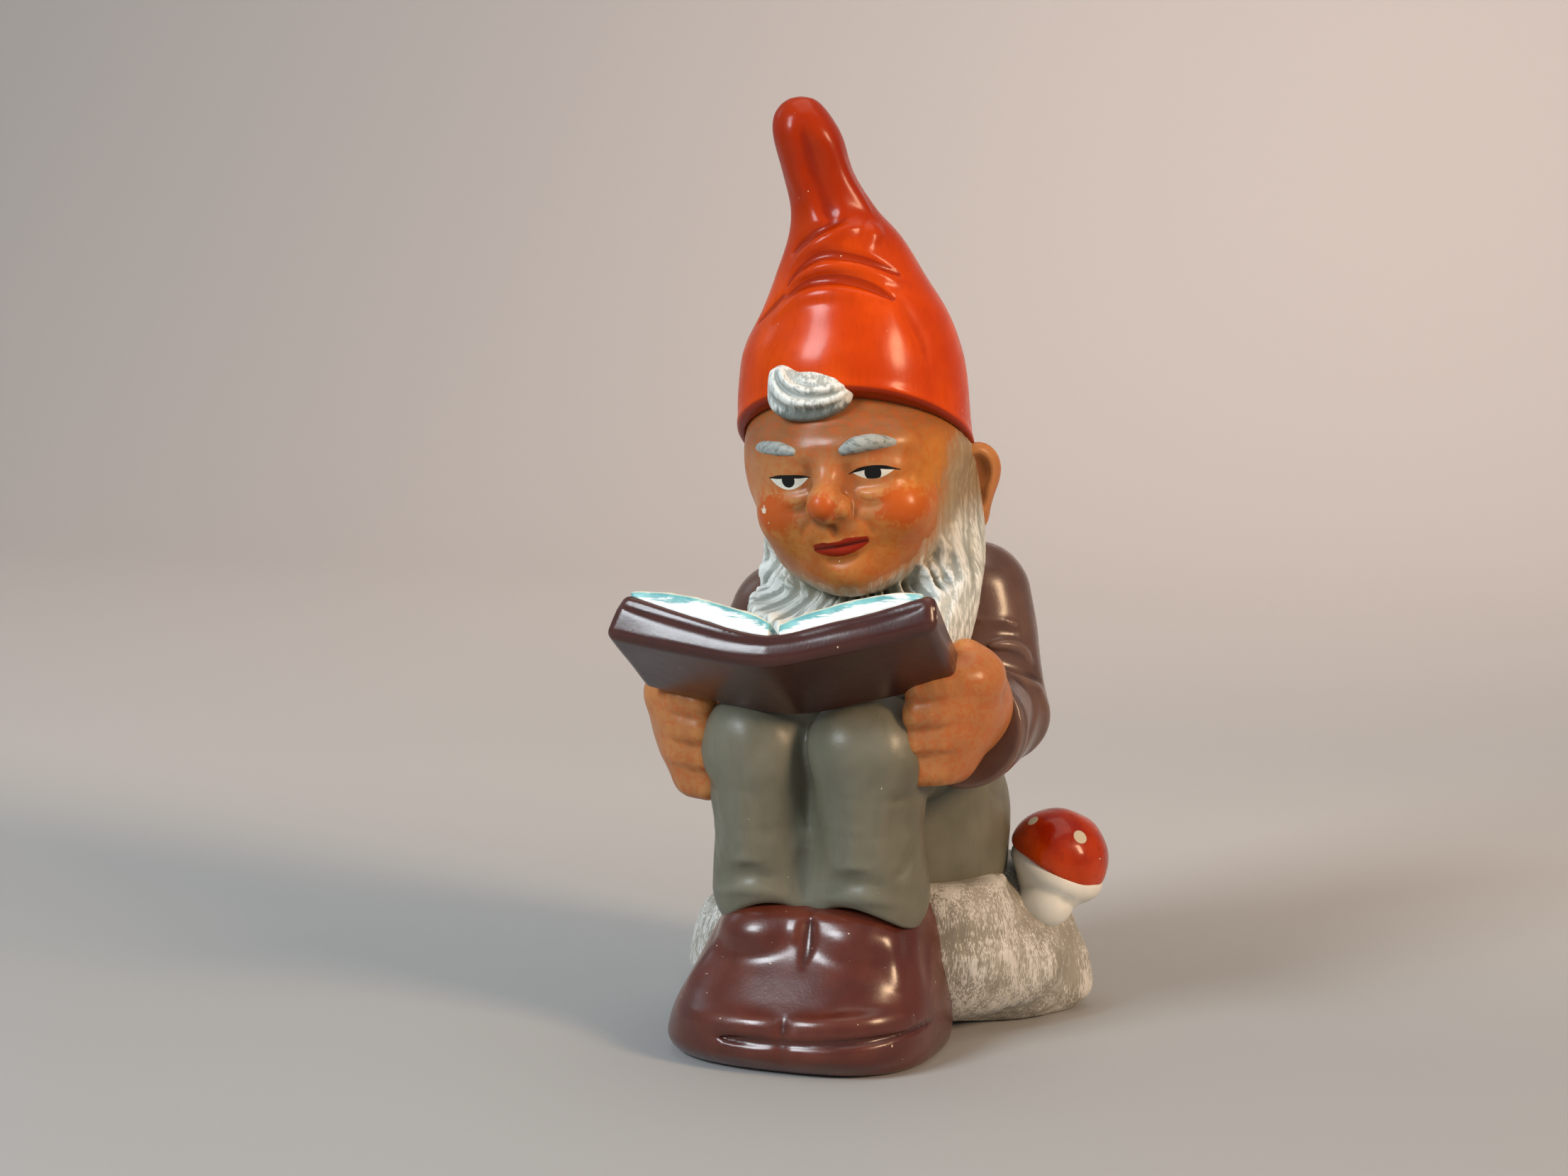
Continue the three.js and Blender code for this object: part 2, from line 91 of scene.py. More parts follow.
HEAD_NOD = math.radians(8)
HEAD_TILT = math.radians(6)
HEAD_PLACE = Vector((0, -1, 157))
HEAD_FRAME = (
    Matrix.Translation(HEAD_PLACE) @ Matrix.Rotation(-HEAD_TILT, 4, "Y") @ Matrix.Rotation(HEAD_NOD, 4, "X")
)

BOOK_SLOPE = math.radians(33)
BOOK_TILT = math.radians(3.4)
BOOK_TURN = math.radians(4.2)
BOOK_PLACE = Vector((-1, -78.5, 116.4))
BOOK_FRAME = (
    Matrix.Translation(BOOK_PLACE) @ Matrix.Rotation(BOOK_TURN, 4, "Z")
    @ Matrix.Rotation(-BOOK_TILT, 4, "Y") @ Matrix.Rotation(-BOOK_SLOPE, 4, "X")
)
BOOK_HALF = 45.5
BOOK_LENGTH = 36.0
PAGE_START = 0.7
PAGE_END = BOOK_LENGTH - 0.4
PAGE_HALF = {"left": 41.4, "right": 40.2}
BOOK_COVER = 8.6
BOOK_RISE = math.tan(math.radians(14))

# The photograph: the camera's direction from the figure, its distance and its focal length in pixels
PHOTO_WIDTH = 2212
PHOTO_FOCAL = 4190
PHOTO_YAW = math.radians(20)
PHOTO_PITCH = math.radians(7)
PHOTO_AWAY = 850.0
PHOTO_TARGET = Vector((0, 0, 140))
PHOTO_OFFSET = (22.5, 13.0)  # how far the camera stands to the left of and below the line to its target
SENSOR = 36.0

Form = namedtuple("Form", "low high distance")


# Carving

def melt(a, b, soft):
    """The smaller of two distances, with a soft joint."""
    if not soft:
        return np.minimum(a, b)
    share = np.clip(0.5 + 0.5 * (a - b) / soft, 0, 1)
    return a + (b - a) * share - soft * share * (1 - share)


def curve(points, count=12):
    """A smooth line through points, as an array."""
    points = np.array(points, np.float32)
    if len(points) < 3:
        return points
    padded = np.vstack((2 * points[0] - points[1], points, 2 * points[-1] - points[-2]))
    made = []
    for t in np.linspace(0, len(points) - 1 - 1e-6, count):
        i = int(t)
        w = t - i
        p, a, b, q = padded[i:i + 4]
        bend = (2 * p - 5 * a + 4 * b - q) * w ** 2 + (3 * a - p - 3 * b + q) * w ** 3
        made.append(0.5 * (2 * a + (b - p) * w + bend))
    return np.array(made, np.float32)


def ball(centre, radii, turn=None):
    centre = np.array(centre, np.float32)
    radii = np.array(radii, np.float32)
    reach = radii if turn is None else np.full(3, radii.max())
    spin = None if turn is None else np.array(Euler(turn).to_matrix(), np.float32)

    def distance(x, y, z):
        p = [x - centre[0], y - centre[1], z - centre[2]]
        if spin is not None:
            p = [p[0] * spin[0, i] + p[1] * spin[1, i] + p[2] * spin[2, i] for i in range(3)]
        near = np.sqrt(sum((q / r) ** 2 for q, r in zip(p, radii)))
        steep = np.sqrt(sum((q / r ** 2) ** 2 for q, r in zip(p, radii)))
        return near * (near - 1) / np.maximum(steep, 1e-4)

    return Form(centre - reach, centre + reach, distance)


def along(points, x, y, z):
    """Distance to a line of points, and how far along it the nearest place lies, from 0 to 1."""
    best, place = None, None
    count = len(points) - 1
    for i, (a, b) in enumerate(zip(points[:-1], points[1:])):
        d = b - a
        t = np.clip(((x - a[0]) * d[0] + (y - a[1]) * d[1] + (z - a[2]) * d[2]) / (d @ d), 0, 1)
        gap = (x - a[0] - t * d[0]) ** 2 + (y - a[1] - t * d[1]) ** 2 + (z - a[2] - t * d[2]) ** 2
        if best is None:
            best, place = gap, t / count
        else:
            nearer = gap < best
            best = np.where(nearer, gap, best)
            place = np.where(nearer, (i + t) / count, place)
    return np.sqrt(best), place


def rod(points, radii, count=8):
    """A rod with round ends along a smooth line, with radii spread evenly along it."""
    line = curve(points, count)
    stops = np.linspace(0, 1, len(radii))
    reach = max(radii)

    def distance(x, y, z):
        gap, place = along(line, x, y, z)
        return gap - np.interp(place, stops, radii).astype(np.float32)

    return Form(line.min(0) - reach, line.max(0) + reach, distance)


def levels(stations, z):
    """Smooth section values at heights z, from stations that each begin with their height."""
    stations = np.array(stations, np.float64)
    path = curve(stations, 60 * len(stations))
    rise = np.maximum.accumulate(path[:, 0])
    return [np.interp(z, rise, path[:, i]).astype(np.float32) for i in range(1, path.shape[1])]


def stack(stations, outline=None):
    """A form of level sections [height, x, y, half width, half depth], cut flat at both ends."""
    low_z, high_z = stations[0][0], stations[-1][0]
    wide = np.array([[s[1] - s[3], s[2] - s[4], s[1] + s[3], s[2] + s[4]] for s in stations])

    def distance(x, y, z):
        cx, cy, rx, ry = levels(stations, z)
        u, v = (x - cx) / rx, (y - cy) / ry
        if outline is not None:
            swell = outline(np.arctan2(v, u), z)
            u, v = u / swell, v / swell
        near = np.sqrt(u * u + v * v)
        steep = np.sqrt((u / rx) ** 2 + (v / ry) ** 2)
        gap = near * (near - 1) / np.maximum(steep, 1e-4)
        lean = np.gradient(rx.ravel(), z.ravel()).reshape(rx.shape) if z.size > 1 else 0
        return np.maximum(gap / np.sqrt(1 + lean * lean), np.maximum(low_z - z, z - high_z))

    low = (wide[:, 0].min() - 3, wide[:, 1].min() - 3, low_z)
    high = (wide[:, 2].max() + 3, wide[:, 3].max() + 3, high_z)
    return Form(np.array(low), np.array(high), distance)


def ripple(x, y, z, sizes, seed):
    """Smooth noise of about -1 to 1 from plane waves, with a wavelength for each axis."""
    chance = np.random.default_rng(seed)
    total = 0
    for _ in range(6):
        way = chance.normal(size=3)
        way *= 2 * math.pi / np.array(sizes) / np.linalg.norm(way) * chance.uniform(0.7, 1.5)
        total = total + np.sin(x * way[0] + y * way[1] + z * way[2] + chance.uniform(0, 7))
    return (total / 2.6).astype(np.float32)


class Clay:
    """A box of sample points, and the signed distance of each from the surface of what is carved there."""

    def __init__(self, low, high, step):
        self.step = step
        self.axes = [np.arange(a, b + step, step, dtype=np.float32) for a, b in zip(low, high)]
        self.field = np.full([len(axis) for axis in self.axes], 2 * MARGIN, np.float32)

    def window(self, low, high, margin):
        spans = []
        for axis, a, b in zip(self.axes, low, high):
            spans.append(slice(*np.searchsorted(axis, (a - margin, b + margin))))
        grid = [axis[span] for axis, span in zip(self.axes, spans)]
        return tuple(spans), np.meshgrid(*grid, indexing="ij", sparse=True)

    def points(self):
        return np.meshgrid(*self.axes, indexing="ij", sparse=True)

    def places(self):
        """Every sample point, one to a row."""
        return np.stack(np.broadcast_arrays(*self.points()), -1).reshape(-1, 3)

    def add(self, form, soft=0.0):
        spans, points = self.window(form.low, form.high, soft + MARGIN)
        self.field[spans] = melt(self.field[spans], form.distance(*points), soft)

    def cut(self, form, soft=0.0):
        spans, points = self.window(form.low, form.high, soft + MARGIN)
        self.field[spans] = -melt(-self.field[spans], form.distance(*points), soft)

    def keep(self, distances, soft=0.0):
        """Keeps only what also lies inside another field of distances."""
        self.field = -melt(-self.field, -distances, soft)

    def draw(self, points, width, height, ends=0.6, count=10):
        """Raises, or with a negative height sinks, a tapered stroke along a line of points."""
        line = curve(points, count)
        reach = 2.6 * width
        spans, (x, y, z) = self.window(line.min(0), line.max(0), reach)
        if min(s.stop - s.start for s in spans) < 1:
            return
        gap, place = along(line, x, y, z)
        taper = np.sin(math.pi * np.clip(place, 0.02, 0.98)) ** ends
        self.field[spans] -= height * taper * np.exp(-(gap / (width * (0.4 + 0.6 * taper))) ** 2)

    def sample(self, points, field=None):
        """The value of the distances, or of another field, at points in this clay's own frame."""
        field = self.field if field is None else field
        places = [(points[:, i] - self.axes[i][0]) / self.step for i in range(3)]
        places = [np.clip(p, 0, n - 1.001) for p, n in zip(places, field.shape)]
        whole = [p.astype(np.int32) for p in places]
        part = [(p - w).astype(np.float32) for p, w in zip(places, whole)]
        value = 0
        for i in (0, 1):
            for j in (0, 1):
                for k in (0, 1):
                    share = abs(1 - i - part[0]) * abs(1 - j - part[1]) * abs(1 - k - part[2])
                    value = value + share * field[whole[0] + i, whole[1] + j, whole[2] + k]
        return value

    def relief(self, size):
        """How proud each place is of its surroundings: positive on ridges, negative in grooves."""
        smooth = np.clip(self.field, -MARGIN, MARGIN)
        sharp = smooth.copy()
        for _ in range(max(2, round(2 * (size / self.step) ** 2))):
            for axis in range(3):
                side = smooth.swapaxes(0, axis)
                side[1:-1] = 0.25 * (side[:-2] + side[2:]) + 0.5 * side[1:-1]
        return smooth - sharp

    def surface(self):
        """The corners and faces of what is carved here."""
        reach = 3 * self.step
        grid = openvdb.FloatGrid(reach)
        grid.copyFromArray(np.ascontiguousarray(np.clip(self.field, -reach, reach)))
        places, triangles, quads = grid.convertToPolygons(0.0, 0.0)
        low = np.array([axis[0] for axis in self.axes])
        return low + places * self.step, triangles, quads


def moved(frame_matrix, points):
    matrix = np.array(frame_matrix)
    return points @ matrix[:3, :3].T + matrix[:3, 3]


def back(frame_matrix, points):
    return moved(frame_matrix.inverted(), points)


def height_over(frame_matrix, x, y, z):
    """Height of places above the level plane of a frame."""
    up = frame_matrix.to_3x3() @ Vector((0, 0, 1))
    low = frame_matrix.translation
    return (up.x * (x - low.x) + up.y * (y - low.y) + up.z * (z - low.z)).astype(np.float32)


def piece(name, clay, nodes, slot, place=None, relief_size=1.0, extra=None):
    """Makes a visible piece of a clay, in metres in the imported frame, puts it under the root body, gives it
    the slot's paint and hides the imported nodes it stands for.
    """
    places, triangles, quads = clay.surface()
    mesh = bpy.data.meshes.new(name)
    world = places if place is None else moved(place, places)
    corners = np.concatenate([quads[:, ::-1].ravel(), triangles[:, ::-1].ravel()]).astype(np.int32)
    counts = np.concatenate([np.full(len(quads), 4), np.full(len(triangles), 3)])
    starts = np.concatenate([[0], np.cumsum(counts)[:-1]]).astype(np.int32)
    mesh.vertices.add(len(world))
    mesh.vertices.foreach_set("co", ((world + ORIGIN) / 1000).astype(np.float32).ravel())
    mesh.loops.add(len(corners))
    mesh.loops.foreach_set("vertex_index", corners)
    mesh.polygons.add(len(starts))
    mesh.polygons.foreach_set("loop_start", starts)
    mesh.update(calc_edges=True)
    mesh.shade_smooth()
    values = {"relief": clay.sample(places, clay.relief(relief_size)) / relief_size}
    if extra is not None:
        values.update(extra(world))
    for key, value in values.items():
        if value.ndim == 1:
            store = mesh.attributes.new(key, "FLOAT", "POINT").data
            store.foreach_set("value", value.astype(np.float32))
        else:
            store = mesh.attributes.new(key, "FLOAT_VECTOR", "POINT").data
            store.foreach_set("vector", value.astype(np.float32).ravel())
    made = bpy.data.objects.new(name, mesh)
    bpy.context.scene.collection.objects.link(made)
    mesh.materials.append(PAINTS[slot])
    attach(made, "root")
    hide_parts(*nodes)
    return made


def side_of(side):
    return 1 if side == "left" else -1


# Rock

# Shares of its height, width and depth
ROCK_LEVELS = (
    (0, 0.93, 0.93), (0.12, 1, 1), (0.3, 0.995, 0.99), (0.52, 0.94, 0.96),
    (0.74, 0.83, 0.89), (0.93, 0.71, 0.8), (1, 0.62, 0.7),
)


def rock():
    clay = Clay((-73, -26, -1), (63, 69, 47), COARSE)
    wide, deep = ROCK_HALF
    stations = [(h * ROCK_HEIGHT, *ROCK_CENTRE, w * wide, d * deep) for h, w, d in ROCK_LEVELS]

    def lumps(a, z):
        shelf = 0.12 * np.cos(a) * np.clip((z - 24) / 16, 0, 1)
        return 1 + 0.02 * np.sin(3 * a + 0.6 + z / 30) + 0.012 * np.sin(5 * a + 2 - z / 18) + shelf

    x, y, z = clay.points()
    clay.add(stack(stations, lumps))
    # The rock swells forward under the lap, up to the seat
    clay.add(rod([(24, 2, 25), (24, 2, 31)], [23, 21], 2), 9)
    clay.add(rod([(-22, 4, 25), (-22, 4, 31)], [20, 19], 2), 9)
    clay.add(ball((38, 17, 17), (17, 15, 14)), 12)
    clay.field += 0.3 * ripple(x, y, z, (21, 21, 36), 3)
    clay.field += 0.1 * ripple(x, y, z, (3.2, 3.2, 12), 4) + 0.05 * ripple(x, y, z, (2.0, 2.0, 6), 5)
    clay.keep(FLOOR_GAP - z, 0.8)
    clay.keep(z - REST_TOP, 2.5)
    return piece("rock", clay, ["base_rock"], "rock_paint", relief_size=1.1)


# Trousers

def seat():
    clay = Clay((-41, -22, 37), (41, 57, 88), COARSE)
    stations = [(39, 0, 17, 37.3, 35.2), (52, 0, 17, 38.5, 37), (64, 0, 16.6, 38.3, 36.5),
                (73, 0, 14.5, 36.6, 33.5), (86, 0, 13, 33, 29)]
    clay.add(stack(stations))
    for side in ("left", "right"):
        x = 37 * side_of(side)
        clay.draw([(x, 4, 72), (x, 12, 67), (x, 24, 64)], 3.0, -0.9)
        clay.draw([(x, 0, 62), (x, 12, 57), (x, 24, 55)], 3.6, 0.6)
        clay.draw([(x, -6, 56), (x, 4, 50), (x, 14, 47)], 3.0, -0.5)
    clay.draw([(0, 52, 74), (0, 54, 62), (0, 54, 48)], 1.6, -1.1)
    clay.draw([(-24, 46, 50), (-10, 53, 47.5), (10, 53, 47.5), (24, 46, 50)], 2.4, 0.6)
    x, y, z = clay.points()
    clay.field += 0.2 * ripple(x, y, z, (22, 22, 22), 14)
    return piece("trouser_seat_sculpt", clay, ["trouser_seat"], "trouser_paint")


def legs():
    clay = Clay((-37, -57, 35), (35, 16, 104), MEDIUM)
    for side in ("left", "right"):
        s = side_of(side)
        x = CREASE + LEG_APART * s
        clay.add(rod([(x, 10, 79), (x, -10, 83), (x, -37, 85)], [17.2, 17.2, 15.7]), 2.5)
        clay.add(rod([(x, -36.4, 86), (x - 0.4 * s, -35.4, 66), (x, -33, 46)], [16.6, 14.8, 15.4]), 3.0)
        knee = (x - 5.5, -42.3, 88.5) if side == "left" else (x - 2.5, -42.2, 90.5)
        clay.add(ball(knee, (10.8, 9.8, 10.5)), 4.5)
    # The web that joins the shins
    clay.add(rod([(CREASE, -25, 82), (CREASE - 0.4, -30, 64), (CREASE - 0.6, -33.4, 46)], [9.5, 9.5, 9.5]), 7)
    for side in ("left", "right"):
        s = side_of(side)
        x = CREASE + LEG_APART * s
        # The shin's ridge, the creases above the hem and the puffed hem
        clay.draw([(x - 1, -53.2, 76), (x - 0.5, -51.6, 66), (x - 2, -50.5, 55)], 5.0, 1.0)
        clay.draw([(x + 11 * s, -47, 74), (x + 12 * s, -45.5, 64), (x + 11 * s, -45, 56)], 3.8, -0.9)
        clay.draw([(x - 13, -44.5, 50.4), (x - 6, -49.2, 51.6), (x + 2, -49.8, 52.6),
                   (x + 8, -47.5, 51.6)], 1.9, -1.3)
        clay.draw([(x - 8, -48.6, 55.6), (x - 1, -50.6, 56.6), (x + 6, -49, 57)], 2.2, 0.6)
        clay.draw([(x - 12, -44, 46), (x - 4, -48.6, 47.6), (x + 4, -48.6, 48), (x + 11, -44, 46)], 2.4, 1.0)
        clay.draw([(x + 14 * s, -39, 63), (x + 13 * s, -42, 57), (x + 10 * s, -46, 53)], 2.2, -0.7)
        clay.draw([(x + 15 * s, -32, 81), (x + 14 * s, -41, 77), (x + 9 * s, -49.5, 75.5)], 2.8, -0.9)
        clay.draw([(x + 10 * s, -48, 88), (x + 13 * s, -44, 84), (x + 15 * s, -38, 82)], 2.8, 0.6)
    clay.draw([(CREASE, -44, 96), (CREASE, -46, 86), (CREASE - 0.2, -44, 76),
               (CREASE - 0.5, -42, 66)], 2.2, -1.6, 0.7)
    clay.draw([(CREASE - 0.5, -43, 60), (CREASE - 0.8, -44.5, 52), (CREASE - 0.8, -45, 44)], 3.2, -1.4, 0.5)
    px, py, pz = clay.points()
    hem = np.where(px > CREASE, 44.0 - 0.035 * (px - CREASE - 13) ** 2, 43.4 - 0.04 * (px - CREASE + 11) ** 2)
    clay.keep(hem - pz, 2.6)
    clay.field += 0.15 * ripple(px, py, pz, (14, 14, 20), 15)
    return piece("trouser_legs_sculpt", clay, ["left_trouser_leg", "right_trouser_leg"], "trouser_paint")


# Shoes

# Shares of their height, width and length
SHOE_LEVELS = (
    (0, 0.93, 0.9), (0.055, 0.965, 0.95), (0.13, 0.985, 0.985), (0.25, 0.98, 0.985), (0.34, 0.965, 0.96),
    (0.45, 0.935, 0.91), (0.56, 0.905, 0.86), (0.67, 0.875, 0.81), (0.77, 0.845, 0.775), (0.86, 0.8, 0.755),
    (0.93, 0.74, 0.725), (1, 0.58, 0.62),
)


def shoes():
    clay = Clay((-46, -68, -1), (36, 8, 47), MEDIUM)
    x, y, z = clay.points()
    half_length = SHOE_LENGTH / 2
    stations = [(h * SHOE_HEIGHT, HEEL - half_length * d, w, half_length * d) for h, w, d in SHOE_LEVELS]
    middle, wide, deep = levels(stations, z)
    splay = SHOE_SPLAY * (1 - z / SHOE_HEIGHT)
    half = SHOE_HALF * wide * np.where(x < CREASE, 1 + splay, 1)
    u = np.abs(x - CREASE) / half
    v = np.abs(y - middle) / deep
    near = (u ** 2.7 + v ** 2.7) ** (1 / 2.7)
    clay.field[:] = np.clip((near - 1) * np.minimum(half, deep), -2 * MARGIN, 2 * MARGIN)
    # The moulded line round the sole, between a wide roll above it and the sole's own roll
    clay.draw([(-39, -36, 9), (-35, -48, 9), (-27, -59, 9.2), (-12, -65.4, 9.8), (-1, -65.8, 10),
               (10, -65.4, 10.6), (22, -60, 11.4), (29, -50, 12), (33.5, -36, 12.6)], 1.2, -1.5, 0.3, 22)
    clay.draw([(-38, -42, 13.5), (-27, -59, 14), (-11, -64.6, 15), (-3, -63.4, 15)], 2.8, 1.3, 0.4, 14)
    clay.draw([(1, -63.4, 15.3), (9, -64.2, 16), (21, -59, 16.6), (30, -48, 16)], 2.8, 1.3, 0.4, 14)
    clay.draw([(-37, -44, 5), (-27, -58, 5.4), (-12, -65, 5.8), (-3, -64, 6)], 2.0, 0.5, 0.4, 14)
    clay.draw([(1, -64, 6.2), (12, -64.6, 6.8), (24, -57, 7.6), (32, -44, 8)], 2.0, 0.5, 0.4, 14)
    clay.draw([(-1, -66, 3), (-1, -66.4, 8), (-0.9, -65.4, 12.5), (-0.8, -63, 16)], 1.8, -1.1, 0.5, 8)
    # The insteps and the crease between them
    clay.add(ball((-14.5, -42.0, 35.5), (11.5, 10.2, 7.6), (0.2, 0, 0)), 5)
    clay.add(ball((12.0, -41.0, 35.0), (11.0, 10.0, 7.4), (0.2, 0, 0)), 5)
    clay.draw([(0.4, -38, 45.5), (0.8, -44, 42), (1.2, -48.5, 38), (1.4, -51.5, 33),
               (1.2, -54, 29)], 1.8, -1.3, 0.5, 12)
    clay.draw([(-2.2, -46, 42), (-2.8, -49, 38), (-2.6, -51.4, 34)], 1.5, 0.7, 0.6, 10)
    clay.draw([(22, -42, 38), (25.5, -46, 31), (28, -47, 22)], 4.8, 1.2)
    clay.draw([(31, -22, 38), (30.5, -30, 32), (33, -36, 21)], 3.4, -0.9)
    clay.draw([(-27, -46, 34), (-32, -48, 25), (-36, -46, 18)], 4.8, 0.9)
    clay.keep(FLOOR_GAP - z, 1.2)
    clay.keep(z - REST_TOP, 3)
    return piece("shoes", clay, ["left_shoe", "right_shoe"], "shoe_paint")


# Jacket

def torso():
    clay = Clay((-42, -12, 64), (42, 56, 145), COARSE)
    clay.add(stack([
        (66, 0, 23, 38.3, 29), (86, 0, 21, 39, 29.5), (106, 0, 18, 37, 27), (124, 0.5, 15, 35.8, 24),
        (134, 2, 13, 26, 20), (143, 0, 10, 17, 15),
    ]))
    for side, height in SHOULDER.items():
        s = side_of(side)
        clay.add(ball((29 * s, 15, height), (15, 15, 15)), 6)
        clay.draw([(27 * s, 30, height + 4), (29 * s, 36, height - 12), (27 * s, 42, height - 26)], 2.2, -1.0)
        clay.draw([(30 * s, 40, 92), (18 * s, 47, 84), (4 * s, 51, 80)], 2.6, 0.7)
        clay.draw([(34 * s, 38, 80), (22 * s, 46, 74), (8 * s, 50, 72)], 2.2, -0.6)
    clay.draw([(0, 42, 128), (0, 46, 112), (0, 50, 90), (0, 52, 70)], 1.3, -0.9)
    x, y, z = clay.points()
    hem = [(39 * math.cos(a), 23 + 29.5 * math.sin(a), 76) for a in np.linspace(-0.5, math.pi + 0.5, 14)]
    clay.draw(hem, 1.2, -0.8, 0.1, 26)
    clay.keep(73.2 - z, 1.6)
    return piece("jacket_sculpt", clay, ["jacket"], "jacket_paint")


# The left sleeve's folds: [line, width, height]. The right one's are moved down with its shoulder
SLEEVE_FOLDS = (
    # Three slack folds above the elbow, with hollows between them
    ([(31, -3, 120.6), (37.7, -2.6, 120), (42.6, 0, 119.8), (46, 5, 117.4)], 1.6, 1.6),
    ([(32.7, -4, 115.8), (36.6, -4, 115.6), (41.1, -1.6, 116.4), (45, 3, 115.4)], 1.6, -2.2),
    ([(33.9, -5, 112.0), (38.8, -4, 112.6), (43.1, -1, 112.9), (46.8, 3, 111.2),
      (48.6, 6, 107.4)], 1.8, 2.2),
    ([(35, -6, 108.2), (39.8, -5, 108.1), (43.8, -2.6, 107.4), (48, 1.8, 105.4),
      (51, 8.6, 101.6)], 1.5, -2.8),
    ([(39, -7, 105.4), (43.4, -3.8, 105), (47.6, 0, 103.2), (51.2, 7.4, 99.4)], 1.3, 1.3),
    # The rolled band of the cuff and the groove before it
    ([(46, -5, 104), (49.6, -1.4, 101.4), (51.8, 0, 97.4), (52.6, -2.6, 92.4), (51.4, -9, 86.6),
      (46.6, -14, 80.6), (40, -14, 76)], 2.0, -1.9),
    ([(50, 6, 100), (52.4, 8, 95), (53, 9, 90), (51.6, 8.4, 84.6), (47, 5, 79)], 3.4, 1.1),
    ([(47.5, -15, 102), (51.4, -13, 96), (52.8, -14, 90), (50.4, -15, 83), (45, -15.4, 77.4),
      (38, -16, 75)], 2.0, 0.8),
    # Slack below the shoulder and at the back of the arm
    ([(38, -3, 133), (43, -1, 129), (47.5, 3, 124), (49.5, 8, 117)], 2.4, 0.9),
    ([(36, -2, 128.5), (40, -2.4, 125.4), (44, -0.6, 122.8)], 1.8, -1.0),
    ([(50, 22, 112), (52, 20, 100), (50, 20, 88)], 2.2, -0.8),
    ([(44, 28, 106), (46, 26, 96), (43, 24, 84)], 2.2, 0.8),
)


def sleeve(side):
    s = side_of(side)
    top = SHOULDER[side]
    clay = Clay((min(20 * s, 56 * s), -21, 71), (max(20 * s, 56 * s), 40, 143), MEDIUM)
    cuff = CUFF_HEIGHT
    elbow = (33.4 * s, 12, (top + cuff) / 2)
    clay.add(rod([(29 * s, 15, top), elbow, (36.6 * s, 9, cuff)], [16.3, 15.4, 15.4]))
    clay.add(rod([(36.6 * s, 9, cuff), (36.3 * s, -4, 91.6), (36 * s, -20, 91.2)], [14.6, 16.0, 16.9]), 2.5)
    lift = (top - SHOULDER["left"]) / 48
    for line, width, height in SLEEVE_FOLDS:
        clay.draw([(a * s, b, c + lift * (c - 76)) for a, b, c in line], width, height, 0.5, 14)
    x, y, z = clay.points()
    clay.field += 0.18 * ripple(x, y, z, (18, 18, 18), 16)
    clay.keep(-18.5 - y + 0.14 * (z - cuff), 1.0)
    clay.cut(rod([(36 * s, -32, 91.4), (36 * s, -19.5, 91.6)], [15.6, 9.5], 2), 1.0)
    return piece(f"{side}_sleeve_sculpt", clay, [f"{side}_sleeve"], "jacket_paint")


# Hands

def hand(side):
    s = side_of(side)
    cx, cz = HAND[side]
    low = (min((cx - 16) * s, (cx + 16) * s), -48.5, cz - 25)
    high = (max((cx - 16) * s, (cx + 16) * s), 2, cz + 26)
    clay = Clay(low, high, FINE)

    def at(x, y, z):
        return ((cx + x) * s, y, cz + z)

    clay.add(ball(at(0.6, -27, 1), (12.0, 15.2, 17.8), (-0.15, 0.3 * s, 0)))
    clay.add(rod([at(0.5, -8, CUFF_HEIGHT - 0.5 - cz), at(0.5, -18, 0)], [8.0, 12.0], 2), 5)
    clay.add(ball(at(6.2, -34, 10.5), (6.8, 7.6, 6.6)), 5)
    if side == "left":
        clay.add(rod([at(6.5, -31, 11.5), at(2.8, -31, 17)], [6.0, 4.2], 2), 4)
    for n in range(4):
        level = 10.2 - 7.9 * n
        give = (0, 0, 1.2, 3.4)[n]
        size = (1, 1, 0.98, 0.92)[n]
        line = [at(5.0 - 2.0 * n, -30.5, level + 0.5), at(0.6 - 0.9 * n, -39.6 + give, level),
                at(-6.0 - 0.4 * n, -41.6 + give, level - 1)]
        clay.add(rod(line, [6.8 * size, 5.9 * size, 5.0 * size]), 4.5)
    for n in range(3):
        level = 6.2 - 7.9 * n
        give = (0, 0.8, 2.2)[n]
        clay.draw([at(5 - n, -43.6 + give, level + 1.0), at(-1, -46.4 + give, level + 0.2),
                   at(-6, -46.6 + give, level - 0.4), at(-9.6, -45 + give, level - 0.8),
                   at(-12.4, -40.5 + give, level - 0.8)], 1.6, -0.5, 0.7, 14)
    clay.draw([at(1, -42, 13.6), at(5, -41, 12.6), at(8.5, -38, 11)], 1.8, 0.55)
    clay.draw([at(10.5, -33, 9), at(11.8, -28, 5), at(11, -22, -2)], 2.6, -0.4)
    clay.draw([at(3, -43, 1), at(6, -38, -1), at(8, -32, -2)], 3.0, -0.4)
    return piece(f"{side}_hand_sculpt", clay, [f"{side}_hand"], "skin_paint", relief_size=1.2, extra=bald)


# Book

def book_wing(x):
    """Height of the covers' outer face above the spine, with a rounded fold."""
    return BOOK_RISE * (np.sqrt(x * x + 64) - 8)


FOLD_SHIFT = 2.2


def page_top(x):
    """Height of the pages' top above the spine, with its valley a little to the gnome's left of the spine."""
    u = x - FOLD_SHIFT
    return book_wing(u) + book_thickness(u) + page_height(u) - 1.3 * np.exp(-(u / 4.0) ** 2)


def book_thickness(x):
    """How thick the covers are: more at their outer ends, above all on the gnome's right."""
    return BOOK_COVER + np.where(x < 0, 5.3, 1.6) * np.abs(x) / BOOK_HALF


